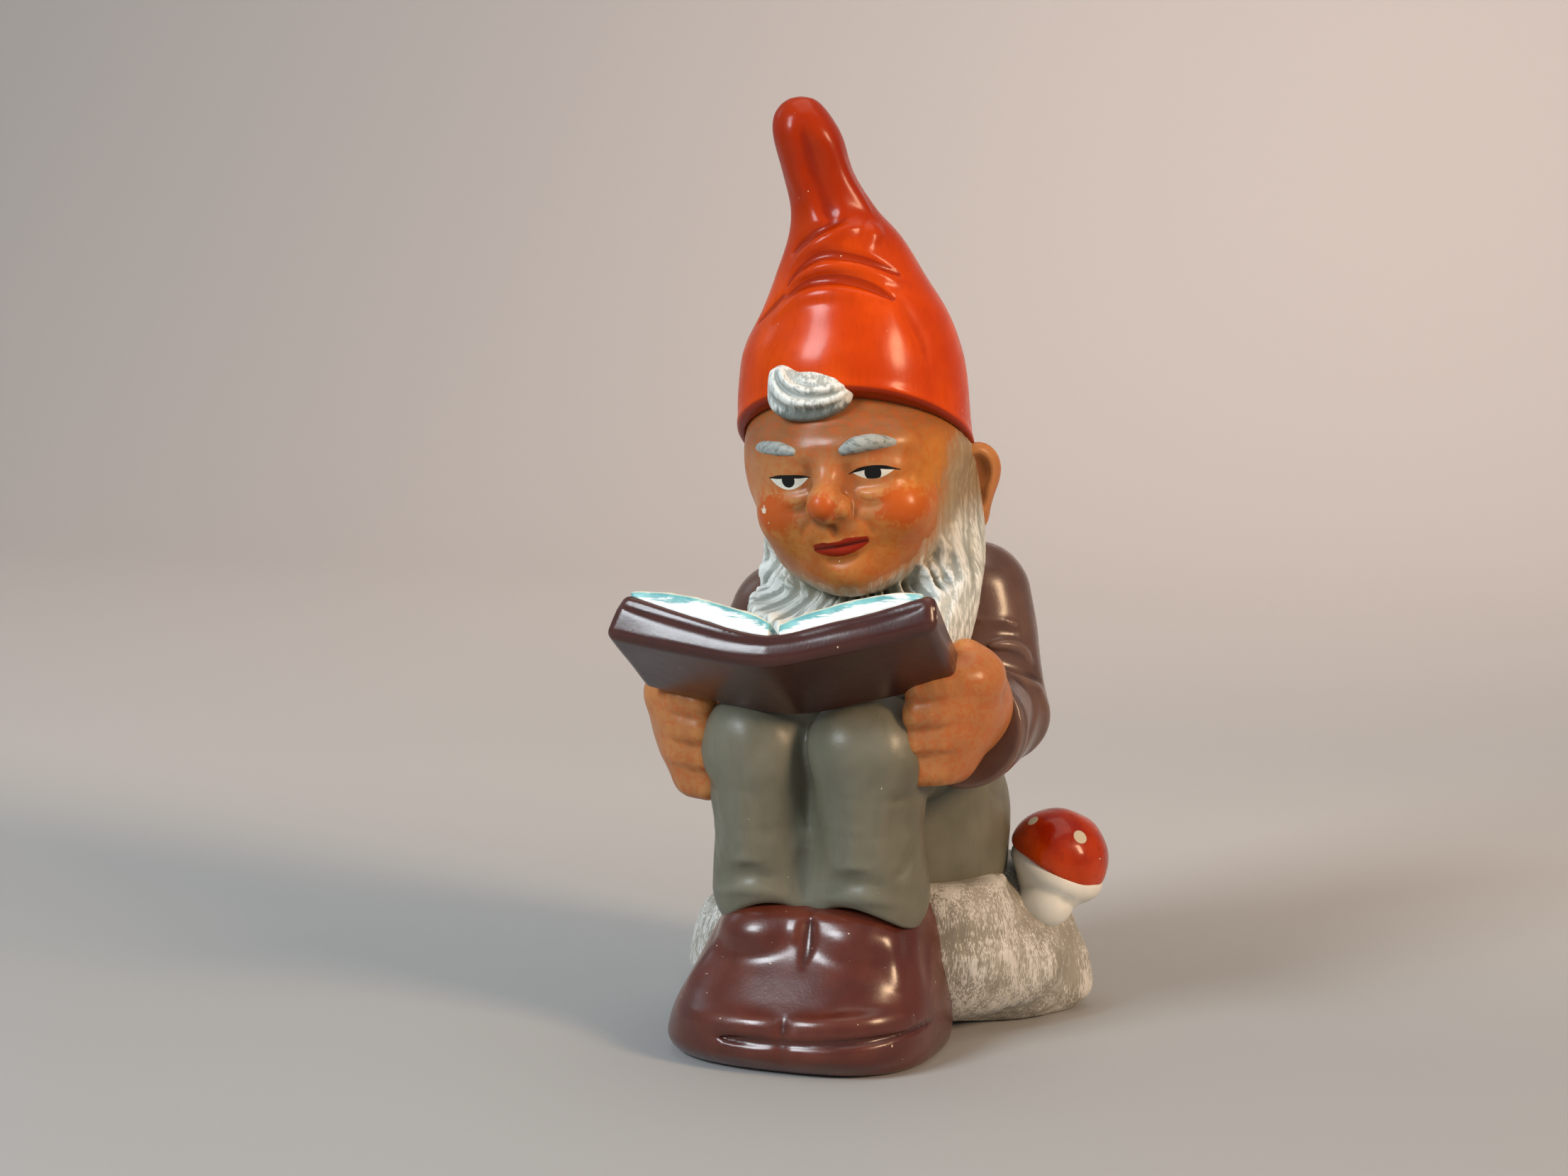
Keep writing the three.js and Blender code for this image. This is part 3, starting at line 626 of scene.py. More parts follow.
def page_height(x):
    """How far the pages' rounded top stands above the covers."""
    across = np.abs(x)
    bump = np.where(x < 0, 1.0, 1.3)
    sharp = np.where(x < 0, 4.0, 5.5)
    swell = 3.9 + bump * (1 - ((across - 20) / 20) ** 2)
    return swell * np.clip(1 - (across / 42) ** sharp, 0, 1) + 0.25


def book_cover():
    clay = Clay((-50, -3, -3), (48, 39, 29), FINE)
    x, y, z = clay.points()
    lean = math.cos(math.atan(BOOK_RISE))
    edge = 2.4
    thick = book_thickness(x)
    up = (z - book_wing(x)) / thick
    end = np.where(x < 0, BOOK_HALF + 1.6 - 5.6 * np.clip(up, 0, 1), BOOK_HALF - 1.2 * np.clip(up, 0, 1))
    # The lower part of the front end leans back, so that it catches the light from the window
    front = 0.26 * thick * np.clip(0.6 - up, 0, 0.6)
    gaps = (
        (np.abs(x) - end + 0.035 * y) * 0.9 + edge,
        np.maximum(front - y, y - BOOK_LENGTH) + edge,
        (z - book_wing(x) - thick) * lean + edge,
        (book_wing(x) - z) * lean + edge,
    )
    outside = np.sqrt(sum(np.maximum(g, 0) ** 2 for g in gaps))
    inside = np.maximum(np.maximum(gaps[0], gaps[1]), np.maximum(gaps[2], gaps[3]))
    clay.field[:] = outside + np.minimum(inside, 0) - edge
    # The front end is a little hollow just under its upper edge
    for s in (-1, 1):
        places = [t * s for t in (1, 12, 24, 34, 40)]
        middle = [(t, -0.1, float(book_wing(t) + 0.7 * book_thickness(t))) for t in places]
        clay.draw(middle, 1.5, -0.7, 0.2, 14)
    clay.draw([(0, -0.2, 4), (0, 12, 0.4), (0, 30, 0)], 3.0, 0.3)
    clay.field += 0.12 * ripple(x, y, z, (24, 15, 15), 8)
    return piece("open_book_cover", clay, ["book_cover"], "cover_paint", BOOK_FRAME, 1.2)


def pages(side):
    s = side_of(side)
    clay = Clay((min(3, 46 * s), -1, 6), (max(0, 46 * s), 39, 34), FINE)
    x, y, z = clay.points()
    base = book_wing(x) + book_thickness(x)
    lean = math.cos(math.atan(BOOK_RISE))
    gaps = (
        (z - page_top(x)) * lean,
        (base - 1.2 - z) * lean,
        np.abs(x) - PAGE_HALF[side] + 0.035 * y,
        (FOLD_SHIFT + 0.05 * s - x) * s,
        PAGE_START - y,
        y - PAGE_END,
    )
    inside = gaps[0]
    for gap in gaps[1:]:
        inside = -melt(-inside, -gap, 1.0)
    clay.field[:] = inside
    clay.field += 0.05 * np.sin(z * 5.2 + 0.6 * np.sin(x / 5)) * np.exp(-((y - PAGE_START) / 1.2) ** 2)
    clay.field += 0.08 * ripple(x, y, z, (9, 9, 4), 9)

    def extra(world):
        here = back(BOOK_FRAME, world)
        return {"depth": page_top(here[:, 0]) - here[:, 2]}

    return piece(f"{side}_pages_sculpt", clay, [f"{side}_pages"], "page_paint", BOOK_FRAME, 1.0, extra)


# Head, in its own frame: +X to the gnome's left, -Y to the front

FACE_MIDDLE = 1.9


def head_clay():
    clay = Clay((-36, -45, -31), (36, 36, 44), FINE)
    m = FACE_MIDDLE
    clay.add(ball((-0.9, 1, 8.5), (31.7, 32.2, 33)))
    clay.add(ball((0.3, -8.5, -8), (26.2, 24, 21)), 5)
    clay.add(ball((1.5, -22.5, -17), (12, 9.8, 9)), 5)
    clay.add(ball((2.6, -26.8, -19), (6.8, 6.2, 5.4)), 4)
    for s in (-1, 1):
        wide = 15.4 if s < 0 else 14.6
        clay.add(ball((m + wide * s, -22.2, -2.6), (9.6, 9.0, 8.6)), 6)
        clay.add(ball((m + 11 * s, -23.8, 15.2), (11.5, 5.4, 4.6), (0, 0.05 * s, 0.42 * s)), 6)
        # Eye socket at the bridge, eyeball, upper lid and the bag under the eye
        clay.cut(ball((m + 6.0 * s, -35.0, 8.6), (3.4, 3.8, 4.2)), 4)
        clay.add(ball((m + 12.4 * s, -21.4, 8.6), (8.4, 8.0, 5.2), (0, 0, 0.42 * s)), 3)
        lid = [(m + 6 * s, -30.5, 10.0), (m + 10.5 * s, -29.6, 11.6), (m + 15 * s, -27, 11.2),
               (m + 19 * s, -22.8, 8.6)]
        clay.draw(lid, 1.5, 0.5)
        bag = [(m + 6.4 * s, -31.2, 5.0), (m + 9.4 * s, -31.4, 3.4), (m + 14 * s, -29.8, 3.2),
               (m + 18.6 * s, -25.6, 5.0)]
        clay.draw(bag, 1.9, 1.0, 0.5)
        under = [(m + 6.6 * s, -32, 1.8), (m + 10 * s, -32, 0.2), (m + 15 * s, -30.5, 0.2)]
        clay.draw(under, 1.7, -0.4)
    clay.draw([(21.4, -22.6, 6.0), (22.8, -20.6, 3.8)], 1.9, 0.6)
    # Nose
    clay.add(rod([(m - 1.0, -27.6, 12), (m - 1.0, -31.2, 8), (m - 1.0, -34.8, 3.6)], [2.0, 3.1, 3.9]), 4.5)
    clay.add(ball((m - 1.0, -36.4, 2.2), (4.5, 5.2, 4.7)), 2.4)
    for s in (-1, 1):
        clay.add(ball((m - 0.6 + 3.8 * s, -33.8, 0.4), (2.6, 3.6, 2.8)), 2.0)
        clay.draw([(m - 0.6 + 4.8 * s, -34.8, 3.2), (m - 0.6 + 6.5 * s, -33, 0.8),
                   (m - 0.6 + 6.2 * s, -32.6, -2.0)], 1.1, -0.5)
        clay.cut(ball((m - 0.8 + 2.0 * s, -36.6, -2.6), (1.0, 1.4, 0.8)), 0.8)
    clay.add(ball((m - 0.6, -34.8, -1.2), (2.4, 3.8, 2.1)), 1.8)
    # Muzzle, furrow under the nose, lips and the soft folds beside them
    clay.add(ball((2.0, -27.4, -6.2), (10.5, 6.6, 4.8)), 4)
    clay.draw([(1.4, -34.5, -3.6), (1.8, -34.3, -8.0)], 1.2, -0.6, 0.4)
    clay.draw([(-5.2, -31.8, -9.5), (-1.8, -33.2, -9.2), (2.4, -33.6, -9.4), (7.0, -32.9, -8.7),
               (10.6, -30.8, -8.7)], 1.1, 0.7, 0.4, 14)
    clay.draw([(-4.2, -31.8, -11.1), (0.6, -32.8, -11.8), (4.6, -32.8, -11.8),
               (9.6, -30.6, -10.2)], 1.3, 0.85, 0.4, 12)
    clay.draw([(-5.6, -32, -10.3), (-1, -33.6, -10.5), (3, -34, -10.6), (7, -33.2, -9.9),
               (10.8, -31.2, -9.2)], 0.6, -0.6, 0.35, 14)
    clay.draw([(-2.6, -32.4, -14.2), (2.6, -32.8, -15.0), (7.6, -31.4, -13.6)], 1.9, -0.6, 0.5)
    for s in (-1, 1):
        fold = [(m + 7.2 * s, -32.8, -2.6), (m + 9.6 * s, -31.8, -5.2), (m + 10.4 * s, -30.2, -9.0)]
        clay.draw(fold, 1.9, -0.5)
    # Faint furrows on the forehead
    clay.draw([(-12, -29, 21.6), (0, -32.4, 22.6), (12, -29.4, 22)], 1.3, -0.2, 0.6, 12)
    clay.draw([(-9, -29, 26), (2, -31.2, 26.8), (13, -28, 26)], 1.3, -0.18, 0.6, 12)
    return clay


def bald(world):
    """The paint's mark for skin far from any hair: the hands and ears."""
    return {"hair": 0 * world[:, 0] - 20}


def to_head(points):
    return back(HEAD_FRAME, points)


# Where the beard and whiskers begin: degrees round the head from the front, and height
HAIRLINE = (
    (-180, 40), (-130, 20), (-112, 15), (-98, 9), (-88, 3), (-80, -4), (-72, -11), (-62, -16.2), (-47, -18),
    (-24, -21.4), (-9, -23.2), (4, -24.2), (18, -23.4), (36, -19.8), (48, -15.5), (56, -11), (61.5, -5),
    (66, 1), (71, 7), (81, 12), (95, 15), (112, 17), (130, 20), (180, 40),
)
HAIRLINE_ARC = 0.54  # mm round the head for each degree


def hairiness(points):
    """Millimetres behind the line where the beard and whiskers begin, for points in the head's frame."""
    side = np.degrees(np.arctan2(points[:, 0] - 1, -points[:, 1])).astype(np.float32)
    line = np.interp(side, *zip(*HAIRLINE))
    corners = np.array([(a * HAIRLINE_ARC, h, 0) for a, h in HAIRLINE], np.float32)
    gap = along(corners, side * HAIRLINE_ARC, points[:, 2].astype(np.float32), 0)[0]
    tips = 0.7 * np.sin(side / 2.3) + 0.6 * np.sin(side / 1.07 + 1.2) + 0.6 * np.sin(points[:, 2] / 1.3)
    return np.where(points[:, 2] < line, gap, -gap) + tips


def head(clay):
    def extra(world):
        return {"hair": hairiness(to_head(world))}

    return piece("head_sculpt", clay, ["head"], "skin_paint", HEAD_FRAME, 1.3, extra)


def ear(side):
    s = side_of(side)
    clay = Clay((min(22 * s, 43 * s), 1, -24), (max(22 * s, 43 * s), 21, 11), SMALL_STEP)
    # The ear's own places: u outward, v back and w up
    turn = Matrix.Translation((31.4 * s, 10.4, -2.0)) @ Matrix.Rotation(0.62 * s, 4, "Z")
    u, v, w = back(turn @ Matrix.Rotation(0.12, 4, "X"), clay.places()).T.reshape(3, *clay.field.shape)
    u = u * s

    def oval(cu, cv, cw, ru, rv, rw):
        return ball((cu, cv, cw), (ru, rv, rw)).distance(u, v, w)

    shell = melt(oval(0.2, 0.3, 1.2, 7.0, 3.7, 8.2), oval(-1.6, 0.2, -8.2, 4.6, 3.2, 8.8), 5)
    bowl = melt(oval(-0.9, -3.8, 1.8, 4.3, 4.0, 5.7), oval(-1.6, -3.7, -4.4, 2.7, 3.0, 5.4), 2)
    shell = -melt(-shell, bowl, 1.2)
    inner = curve([(-3.8, -1.6, 5.0), (-1.6, -1.2, 2.0), (-1.9, -1.3, -1.5), (-3.2, -1.9, -4.5)])
    ridge = along(inner, u, v, w)[0]
    clay.field[:] = shell - 0.7 * np.exp(-(ridge / 1.0) ** 2)
    return piece(f"{side}_ear_sculpt", clay, [f"{side}_ear"], "skin_paint", HEAD_FRAME, 1.0, bald)


def eyebrow(side):
    s = side_of(side)
    m = FACE_MIDDLE
    clay = Clay((m + min(3 * s, 30 * s), -36, 10), (m + max(3 * s, 30 * s), -9, 22), EYEBROW_STEP)
    if side == "left":
        line = [(m + 5.0, -31.0, 15.8), (m + 8.6, -30.9, 17.0), (m + 13, -28.9, 17.1),
                (m + 17.4, -25.2, 15.8)]
        radii = [1.5, 2.3, 2.3, 1.5]
    else:
        line = [(m - 9.8, -30.7, 16.6), (m - 14, -29.0, 17.3), (m - 19.5, -24.8, 17.2),
                (m - 24.6, -18.6, 16.2)]
        radii = [1.3, 2.0, 2.1, 1.6]
    clay.add(rod(line, radii, 16))
    chance = np.random.default_rng(4)
    places = curve(line, 40)
    for i in range(16):
        a = places[int((i + 0.5) / 16 * 39)]
        lean = chance.uniform(0.4, 1.4)
        hair = [a + (-lean * s, -1.2, -1.4), a + (0.2 * s, -2.0, 0.2), a + (lean * s, -1.0, 1.5)]
        clay.draw(hair, 0.4, -0.1)

    def extra(world):
        here = to_head(world)
        strand = np.stack((here[:, 2] + 0.5 * s * here[:, 0], here[:, 0], here[:, 1]), 1)
        return {"strand": strand, "brow": 0 * here[:, 0] + 1.2}

    return piece(f"{side}_eyebrow_sculpt", clay, [f"{side}_eyebrow"], "hair_paint", HEAD_FRAME, 0.7, extra)


# Hair

# From the lowest up: [line, width, height]
FORELOCK_ROLLS = (
    ([(-16.6, -30, 184.5), (-14.6, -32.6, 180.2), (-10.8, -34, 177.2), (-5.6, -34.4, 176.0),
      (-0.8, -33.8, 177.4), (3.0, -32.6, 180.6), (6.4, -30.8, 184)], 2.4, 1.1),
    ([(-15.8, -32.5, 190), (-14.2, -34.4, 185.8), (-10.8, -35.8, 182.8), (-6.4, -36.6, 181.6),
      (-2, -36.4, 181.6), (2.2, -35, 182.6), (6.2, -32.6, 184.6)], 1.5, 1.5),
    ([(-13.0, -34, 191.2), (-10.6, -36, 187.8), (-6.8, -36.8, 185.8), (-2.8, -36.8, 185.2),
      (1.6, -35.6, 185.8), (5.6, -33, 186.8)], 1.3, 1.3),
    ([(-9.8, -34.6, 191.2), (-6.8, -36, 189), (-3, -36.2, 188.2), (1.0, -35, 188.6)], 1.0, 0.9),
)


def forelock():
    clay = Clay((-21, -42, 172), (12, -18, 196), FORELOCK_STEP)
    clay.add(ball((-5.2, -29.6, 183.6), (12.2, 6.0, 7.6), (0.28, -0.16, 0)))
    clay.add(ball((-12.8, -30.6, 187.4), (4.4, 4.0, 4.6)), 3)
    for line, width, height in FORELOCK_ROLLS:
        clay.draw(line, width, height, 0.35, 18)
    for upper, lower in zip(FORELOCK_ROLLS[1:], FORELOCK_ROLLS[:-1]):
        middle = [(np.array(a) + b) / 2 for a, b in zip(upper[0], lower[0])]
        clay.draw(middle, 0.8, -0.6, 0.35, 18)
    clay.draw([(-4.4, -35.6, 190.4), (-0.5, -35.4, 189.8), (3.6, -33.8, 189.6)], 1.6, -1.2, 0.5, 10)
    chance = np.random.default_rng(21)
    for i in range(30):
        a = curve(FORELOCK_ROLLS[1 + i % 2][0], 60)[int((i + chance.uniform(0.2, 0.8)) / 30 * 59)]
        tilt = chance.uniform(-0.9, 0.9)
        clay.draw([a + (-tilt, 0.2, 1.6), a + (0, -0.9, 0), a + (tilt, 0.2, -1.8)], 0.36, -0.13)

    def extra(world):
        x, y, z = world.T
        level = z - 0.1 * x + 0.5 * np.sin(1.9 * x) + 0.4 * np.sin(4.3 * x)
        return {
            "strand": np.stack((x, z * 0.6, y), 1),
            "brow": np.clip((181.8 - level) / 1.6, 0, 1) * 1.6,
        }

    return piece("forelock_sculpt", clay, ["forelock"], "hair_paint", relief_size=0.8, extra=extra)


# Level sections: [height, x, y, half width, half depth]
BEARD = (
    (89, 2, -17, 6, 4), (97, 2.5, -18, 17, 9), (110, 3.5, -17, 30, 15), (121, 3.5, -12, 33, 19),
    (130, 3, -5, 33, 22), (138, 2.5, 2, 32.5, 23), (150, 1, 6, 32, 24), (160, 0, 7, 31.5, 24),
    (168, 0, 8, 30, 23),
)
STRAND_TURN = 33.0
HAIR_EDGE = 8.0  # how far past the hairline the thin layer of whiskers reaches


def strand_place(x, y, z):
    """Which strand of the beard a point lies on, in millimetres across from the middle of the front."""
    angle = np.arctan2((x - 1.5) / 32, -(y + 2) / 23)
    return strand_spread(z) * angle + strand_wave(angle, z)


def strand_spread(z):
    return STRAND_TURN * (1 + 0.45 * (165 - z) / 70)


def strand_wave(angle, z):
    return 1.7 * np.sin(z / 6.5 + 2.2 * angle) + 0.8 * np.sin(z / 3.1 + 4.3 * angle)


def on_beard(across, z):
    """A point of the beard's surface, from its strand and its height."""
    rough = across / strand_spread(z)
    angle = (across - strand_wave(rough, z)) / strand_spread(z)
    cx, cy, rx, ry = levels(BEARD, np.array([z]))
    return (cx[0] + rx[0] * math.sin(angle), cy[0] - ry[0] * math.cos(angle), z)


# Locks that sweep from the whiskers over the shoulder, and tips over the cheek: [line, width, height]
BEARD_LOCKS = (
    ([(30.5, -4, 150), (30.5, -8, 143), (31.5, -9, 137), (33.5, -10, 129), (34.5, -14, 121)], 2.2, 1.5),
    ([(25.8, -13, 145), (28, -12, 141.5), (31, -9, 139), (33, -8, 133)], 2.0, 1.5),
    ([(21.4, -17, 138), (25, -17, 134), (28.5, -17.5, 128), (30, -19, 121)], 2.2, 1.5),
    ([(33, 1, 147), (34, 0, 142), (35, -2, 136), (36, -6, 130), (36.5, -12, 122)], 2.0, 1.4),
    ([(14, -23.5, 134), (17.5, -23.5, 130.5), (20, -25, 124)], 2.0, 1.1),
    ([(28.2, -11, 146), (30.4, -10.5, 139), (31, -13, 131), (32, -16, 123)], 1.3, -0.8),
    ([(32.4, -3, 146), (33.4, -5, 139), (34.6, -8, 131), (35.4, -13, 123)], 1.2, -0.7),
    ([(23.4, -17, 136), (27.4, -16, 130), (29.6, -18, 123)], 1.2, -0.7),
)


def beard_mass(head_field):
    """The beard's plain form, melted into a thin layer of whiskers over the skin."""
    clay = Clay((-36, -35, 87), (40, 38, 186), BEARD_STEP)
    clay.add(stack(BEARD))
    near = to_head(clay.places())
    cover = hairiness(near).reshape(clay.field.shape)
    skin = head_field.sample(near).reshape(clay.field.shape)
    clay.field = melt(clay.field, np.minimum(skin - np.clip(0.1 * cover, -1.5, 0.7), MARGIN), 3.0)
    # Near the hairline the hair is thin, so that it rises softly out of the skin
    clay.keep(skin - np.where(cover < 5, 0.1 * cover, 0.5 + 1.2 * (cover - 5)), 1.5)
    clay.keep(-cover - HAIR_EDGE)
    clay.field = clay.field.astype(np.float32)
    return clay, cover, skin


def comb(clay, cover):
    """Fine strands all over, then single locks and the gaps beside them."""
    x, y, z = clay.points()
    place = strand_place(x, y, z)
    waves = np.sin(place * 3.6 + 1.1 * np.sin(z / 5.1))
    waves = waves + 0.8 * np.sin(place * 2.2 + 1.4 * np.sin(z / 7.3 + 1))
    waves = waves + 0.6 * np.sin(place * 5.6 + 0.9 * np.sin(z / 3.7 + 2))
    clay.field += (0.075 * np.clip(cover / 6, 0, 1) * waves).astype(np.float32)
    chance = np.random.default_rng(5)
    for top, length, count in ((168, 30, 44), (152, 32, 52), (136, 30, 52), (120, 26, 38)):
        for i in range(count):
            across = ((i + chance.uniform(0.15, 0.85)) / count - 0.5) * 2 * math.pi * STRAND_TURN
            start = top + chance.uniform(-6, 6)
            heights = np.maximum(start - length * np.linspace(0, 1, 7), 89.5)
            width = chance.uniform(0.9, 1.7)
            clay.draw([on_beard(across, h) for h in heights], width, chance.uniform(0.12, 0.42), 0.6, 14)
            clay.draw([on_beard(across + 1.6 * width, h) for h in heights], 0.65, -0.2, 0.6, 14)


def beard(head_field):
    clay, cover, skin = beard_mass(head_field)
    comb(clay, cover)
    for line, width, height in BEARD_LOCKS:
        clay.draw(line, width, height, 0.5, 14)
    # No groove sinks under the skin
    thin = np.maximum(skin - np.clip(0.09 * cover, -1.5, 0.5), -cover - HAIR_EDGE)
    clay.field = melt(clay.field, thin.astype(np.float32), 0.8)
    clay.keep(height_over(BRIM_FRAME, *clay.points()) - 2.5, 1)

    def extra(world):
        strand = strand_place(*world.T)
        return {
            "strand": np.stack((strand, world[:, 2], 0 * strand), 1),
            "hair": hairiness(to_head(world)),
            "whisker": 0 * strand + 1,
        }

    return piece("beard_sculpt", clay, ["beard"], "hair_paint", relief_size=0.9, extra=extra)


# Hat

BRIM_SLOPE = math.radians(26)
BRIM_TILT = math.radians(5)
BRIM_HEIGHT = 169.0
BRIM_FRAME = (
    Matrix.Translation((0, 0, BRIM_HEIGHT)) @ Matrix.Rotation(-BRIM_SLOPE, 4, "X")
    @ Matrix.Rotation(-BRIM_TILT, 4, "Y")
)
HAT_HEIGHT = 266.0
HAT_RADIUS = 33.2
HAT_LEAN = (-14.5, -12)  # how far its tip hangs over, in x and y
HAT_TOP = HAT_HEIGHT - 0.1  # the tip ends just below the solid's
# Shares of its height, of the lean in x and in y, and of its radius
HAT_STATIONS = (
    (-0.93, 0, 0, 0.95), (-0.36, 0.05, 0, 1), (0.07, 0.17, 0.04, 1), (0.19, 0.19, 0.08, 0.976),
    (0.28, 0.18, 0.12, 0.92), (0.39, 0.13, 0.17, 0.782), (0.5, 0.2, 0.25, 0.62), (0.6, 0.28, 0.36, 0.478),
    (0.68, 0.47, 0.5, 0.365), (0.78, 0.71, 0.75, 0.304), (0.88, 0.86, 0.96, 0.292), (0.935, 0.96, 1, 0.25),
    (0.97, 1, 1, 0.185), (0.99, 1, 1, 0.11), (1, 1, 1, 0.02),
)


# [line, width, height]
HAT_FOLDS = (
    # The valley down the front of the tip, and the ridges beside it
    ([(-11.6, -21.4, 258.6), (-9.9, -20.6, 252), (-8.4, -19.4, 245), (-6.2, -18.7, 238.9),
      (-4.2, -18.2, 234.2), (-3.4, -18, 231)], 3.0, -2.5),
    ([(-9.6, -16.7, 262), (-4.6, -15.4, 252.2), (-1.0, -13, 243), (2.8, -11.4, 237.3),
      (6.0, -10.4, 233.6)], 2.6, 1.4),
    ([(-16.5, -18.9, 257), (-15, -18.2, 247), (-13.6, -17.4, 238)], 3.0, 0.7),
    # The slumped folds across the front, from the top
    ([(-14.4, -17.6, 223), (-10.8, -19.4, 226.4), (-6.4, -20, 228.9), (-2.0, -19.2, 231),
      (1.6, -16.9, 233)], 1.6, -1.9),
    ([(-14, -19.6, 219), (-9.5, -20.8, 223.2), (-4.6, -20.8, 226.4), (0.2, -19.4, 228.6),
      (4.4, -16.6, 230)], 2.0, 1.7),
    ([(5.4, -15.4, 229.4), (9.6, -12.8, 226.4)], 3.2, 2.0),
    ([(-15, -20.4, 213.6), (-11.6, -21.6, 218.4), (-7.4, -22.2, 221.2), (-2.4, -22.2, 222.2),
      (4.0, -20.9, 221.4), (10.4, -17.7, 219.2), (15, -13.8, 216.8)], 1.4, -2.5),
    ([(-17.6, -20.8, 208), (-12.6, -22.6, 214.6), (-6.6, -23.4, 218.2), (-0.6, -23.2, 219.2),
      (6.2, -21, 218.4), (12.6, -17.6, 215.8), (17, -13.4, 213.4)], 1.5, 1.7),
    ([(-25.4, -16, 203.2), (-18.4, -20.9, 209.4), (-11.4, -23.8, 213.4), (-4.0, -24.6, 215.2),
      (3.8, -23.6, 215.0), (9.9, -21.4, 213), (14.6, -19.2, 210)], 1.5, -2.5),
    ([(-20, -22.4, 203), (-12, -25, 209.4), (-4, -26, 211.8), (4, -25, 211.4),
      (9.6, -22.6, 209)], 2.4, 1.2),
    # A soft valley down the front on the gnome's left, and slack at the back
    ([(15.2, -18.4, 212.6), (19, -17.9, 206), (22.6, -16.8, 199), (24, -17, 191)], 3.0, -0.6),
    ([(-2, 20, 207), (-8, 13, 219), (-10, 5, 231)], 4.0, -0.8),
    ([(-22, 12, 202), (-12, 17, 210), (2, 18, 212), (12, 12, 206)], 2.4, -1.2),
    ([(-24, 14, 197), (-12, 20, 204), (3, 21, 206), (16, 14, 200)], 2.8, 1.2),
    ([(-10, 17, 219), (-1, 16, 221.5), (9, 11, 217)], 2.0, -1.0),
)


def hat_sections():
    """The hat's level sections: height, middle and half widths."""
    made = []
    for h, aside, forward, r in HAT_STATIONS:
        z = BRIM_HEIGHT + h * (HAT_RADIUS if h < 0 else HAT_HEIGHT - BRIM_HEIGHT)
        made.append((z, aside * HAT_LEAN[0], forward * HAT_LEAN[1], r * HAT_RADIUS, r * HAT_RADIUS))
    return made


def hat(head_field):
    clay = Clay((-37, -36, 150), (33, 35, 267), MEDIUM)
    clay.add(stack(hat_sections()))
    x, y, z = clay.points()
    for line, width, height in HAT_FOLDS:
        clay.draw(line, width, height, 0.45, 18)
    clay.field += 0.15 * ripple(x, y, z, (26, 26, 30), 12)
    # The rolled edge, and the cut along the brim
    above = height_over(BRIM_FRAME, x, y, z)
    clay.field -= 0.35 * np.exp(-((above - 1.4) / 1.4) ** 2)
    clay.keep(-above, 1.4)
    clay.keep(z - HAT_TOP, 0.6)
    # The hat is hollowed out round the head
    skin = head_field.sample(to_head(clay.places())).reshape(clay.field.shape)
    hollow = np.maximum(skin - 0.1, above - 3.5)
    clay.field = np.maximum(clay.field, -hollow.astype(np.float32))
    clay.field = np.where(skin < -2.5, MARGIN, clay.field).astype(np.float32)

    def extra(world):
        return {"brim": height_over(BRIM_FRAME, *world.T)}

    return piece("hat_sculpt", clay, ["hat"], "hat_paint", relief_size=1.4, extra=extra)


# Mushroom

CAP_CENTRE = (51.6, 28.0, 47.0)
CAP_LEAN = math.radians(26)
CAP_FRAME = Matrix.Translation(CAP_CENTRE) @ Matrix.Rotation(CAP_LEAN, 4, "Y")
CAP_DOTS = ((-10.4, -6.5, 7.2), (4.2, -8.1, 10.6), (2.5, 6.5, 11.9), (-6.5, 10.5, 7.0), (11.0, 6.0, 6.0))


def mushroom_cap():
    clay = Clay((-16, -16, -5), (16, 16, 15), SMALL_STEP)
    x, y, z = clay.points()
    clay.add(ball((0, 0, -0.6), (14.9, 14.9, 14.2)))
    clay.keep(-1.9 - z + 0.35 * np.sin(3 * np.arctan2(y, x) + 0.7), 1.4)
    clay.field += 0.1 * ripple(x, y, z, (11, 11, 11), 31)
    return piece("mushroom_cap_sculpt", clay, ["mushroom_cap"], "cap_paint", CAP_FRAME)


def mushroom_stem():
    clay = Clay((34, 8, 22), (68, 48, 51), STEM_STEP)
    clay.add(rod([(49.6, 21.4, 35), (50.4, 23.8, 38.6), (51.6, 26.6, 42)], [8.2, 10.6, 12.6]))
    clay.add(ball((51.0, 27.2, 43.4), (14.2, 14.2, 7.2), (0, CAP_LEAN, 0)), 2.4)
    clay.draw([(47, 12.4, 41), (52, 12.6, 39), (57, 14.6, 38.4)], 1.7, -0.5)
    clay.draw([(42, 15.4, 38), (44, 14.4, 34), (47, 14.4, 31)], 2.2, 0.5)
    clay.draw([(59, 16, 38), (56.5, 14.6, 34)], 2.4, -0.9)
    x, y, z = clay.points()
    clay.keep(height_over(CAP_FRAME, x, y, z) + 0.7, 1.0)
    return piece("mushroom_stem_sculpt", clay, ["mushroom_stem"], "stem_paint")


# Paint

def srgb(code):
    parts = [int(code[i:i + 2], 16) / 255 for i in (1, 3, 5)]
    return tuple(c / 12.92 if c < 0.04045 else ((c + 0.055) / 1.055) ** 2.4 for c in parts) + (1.0,)


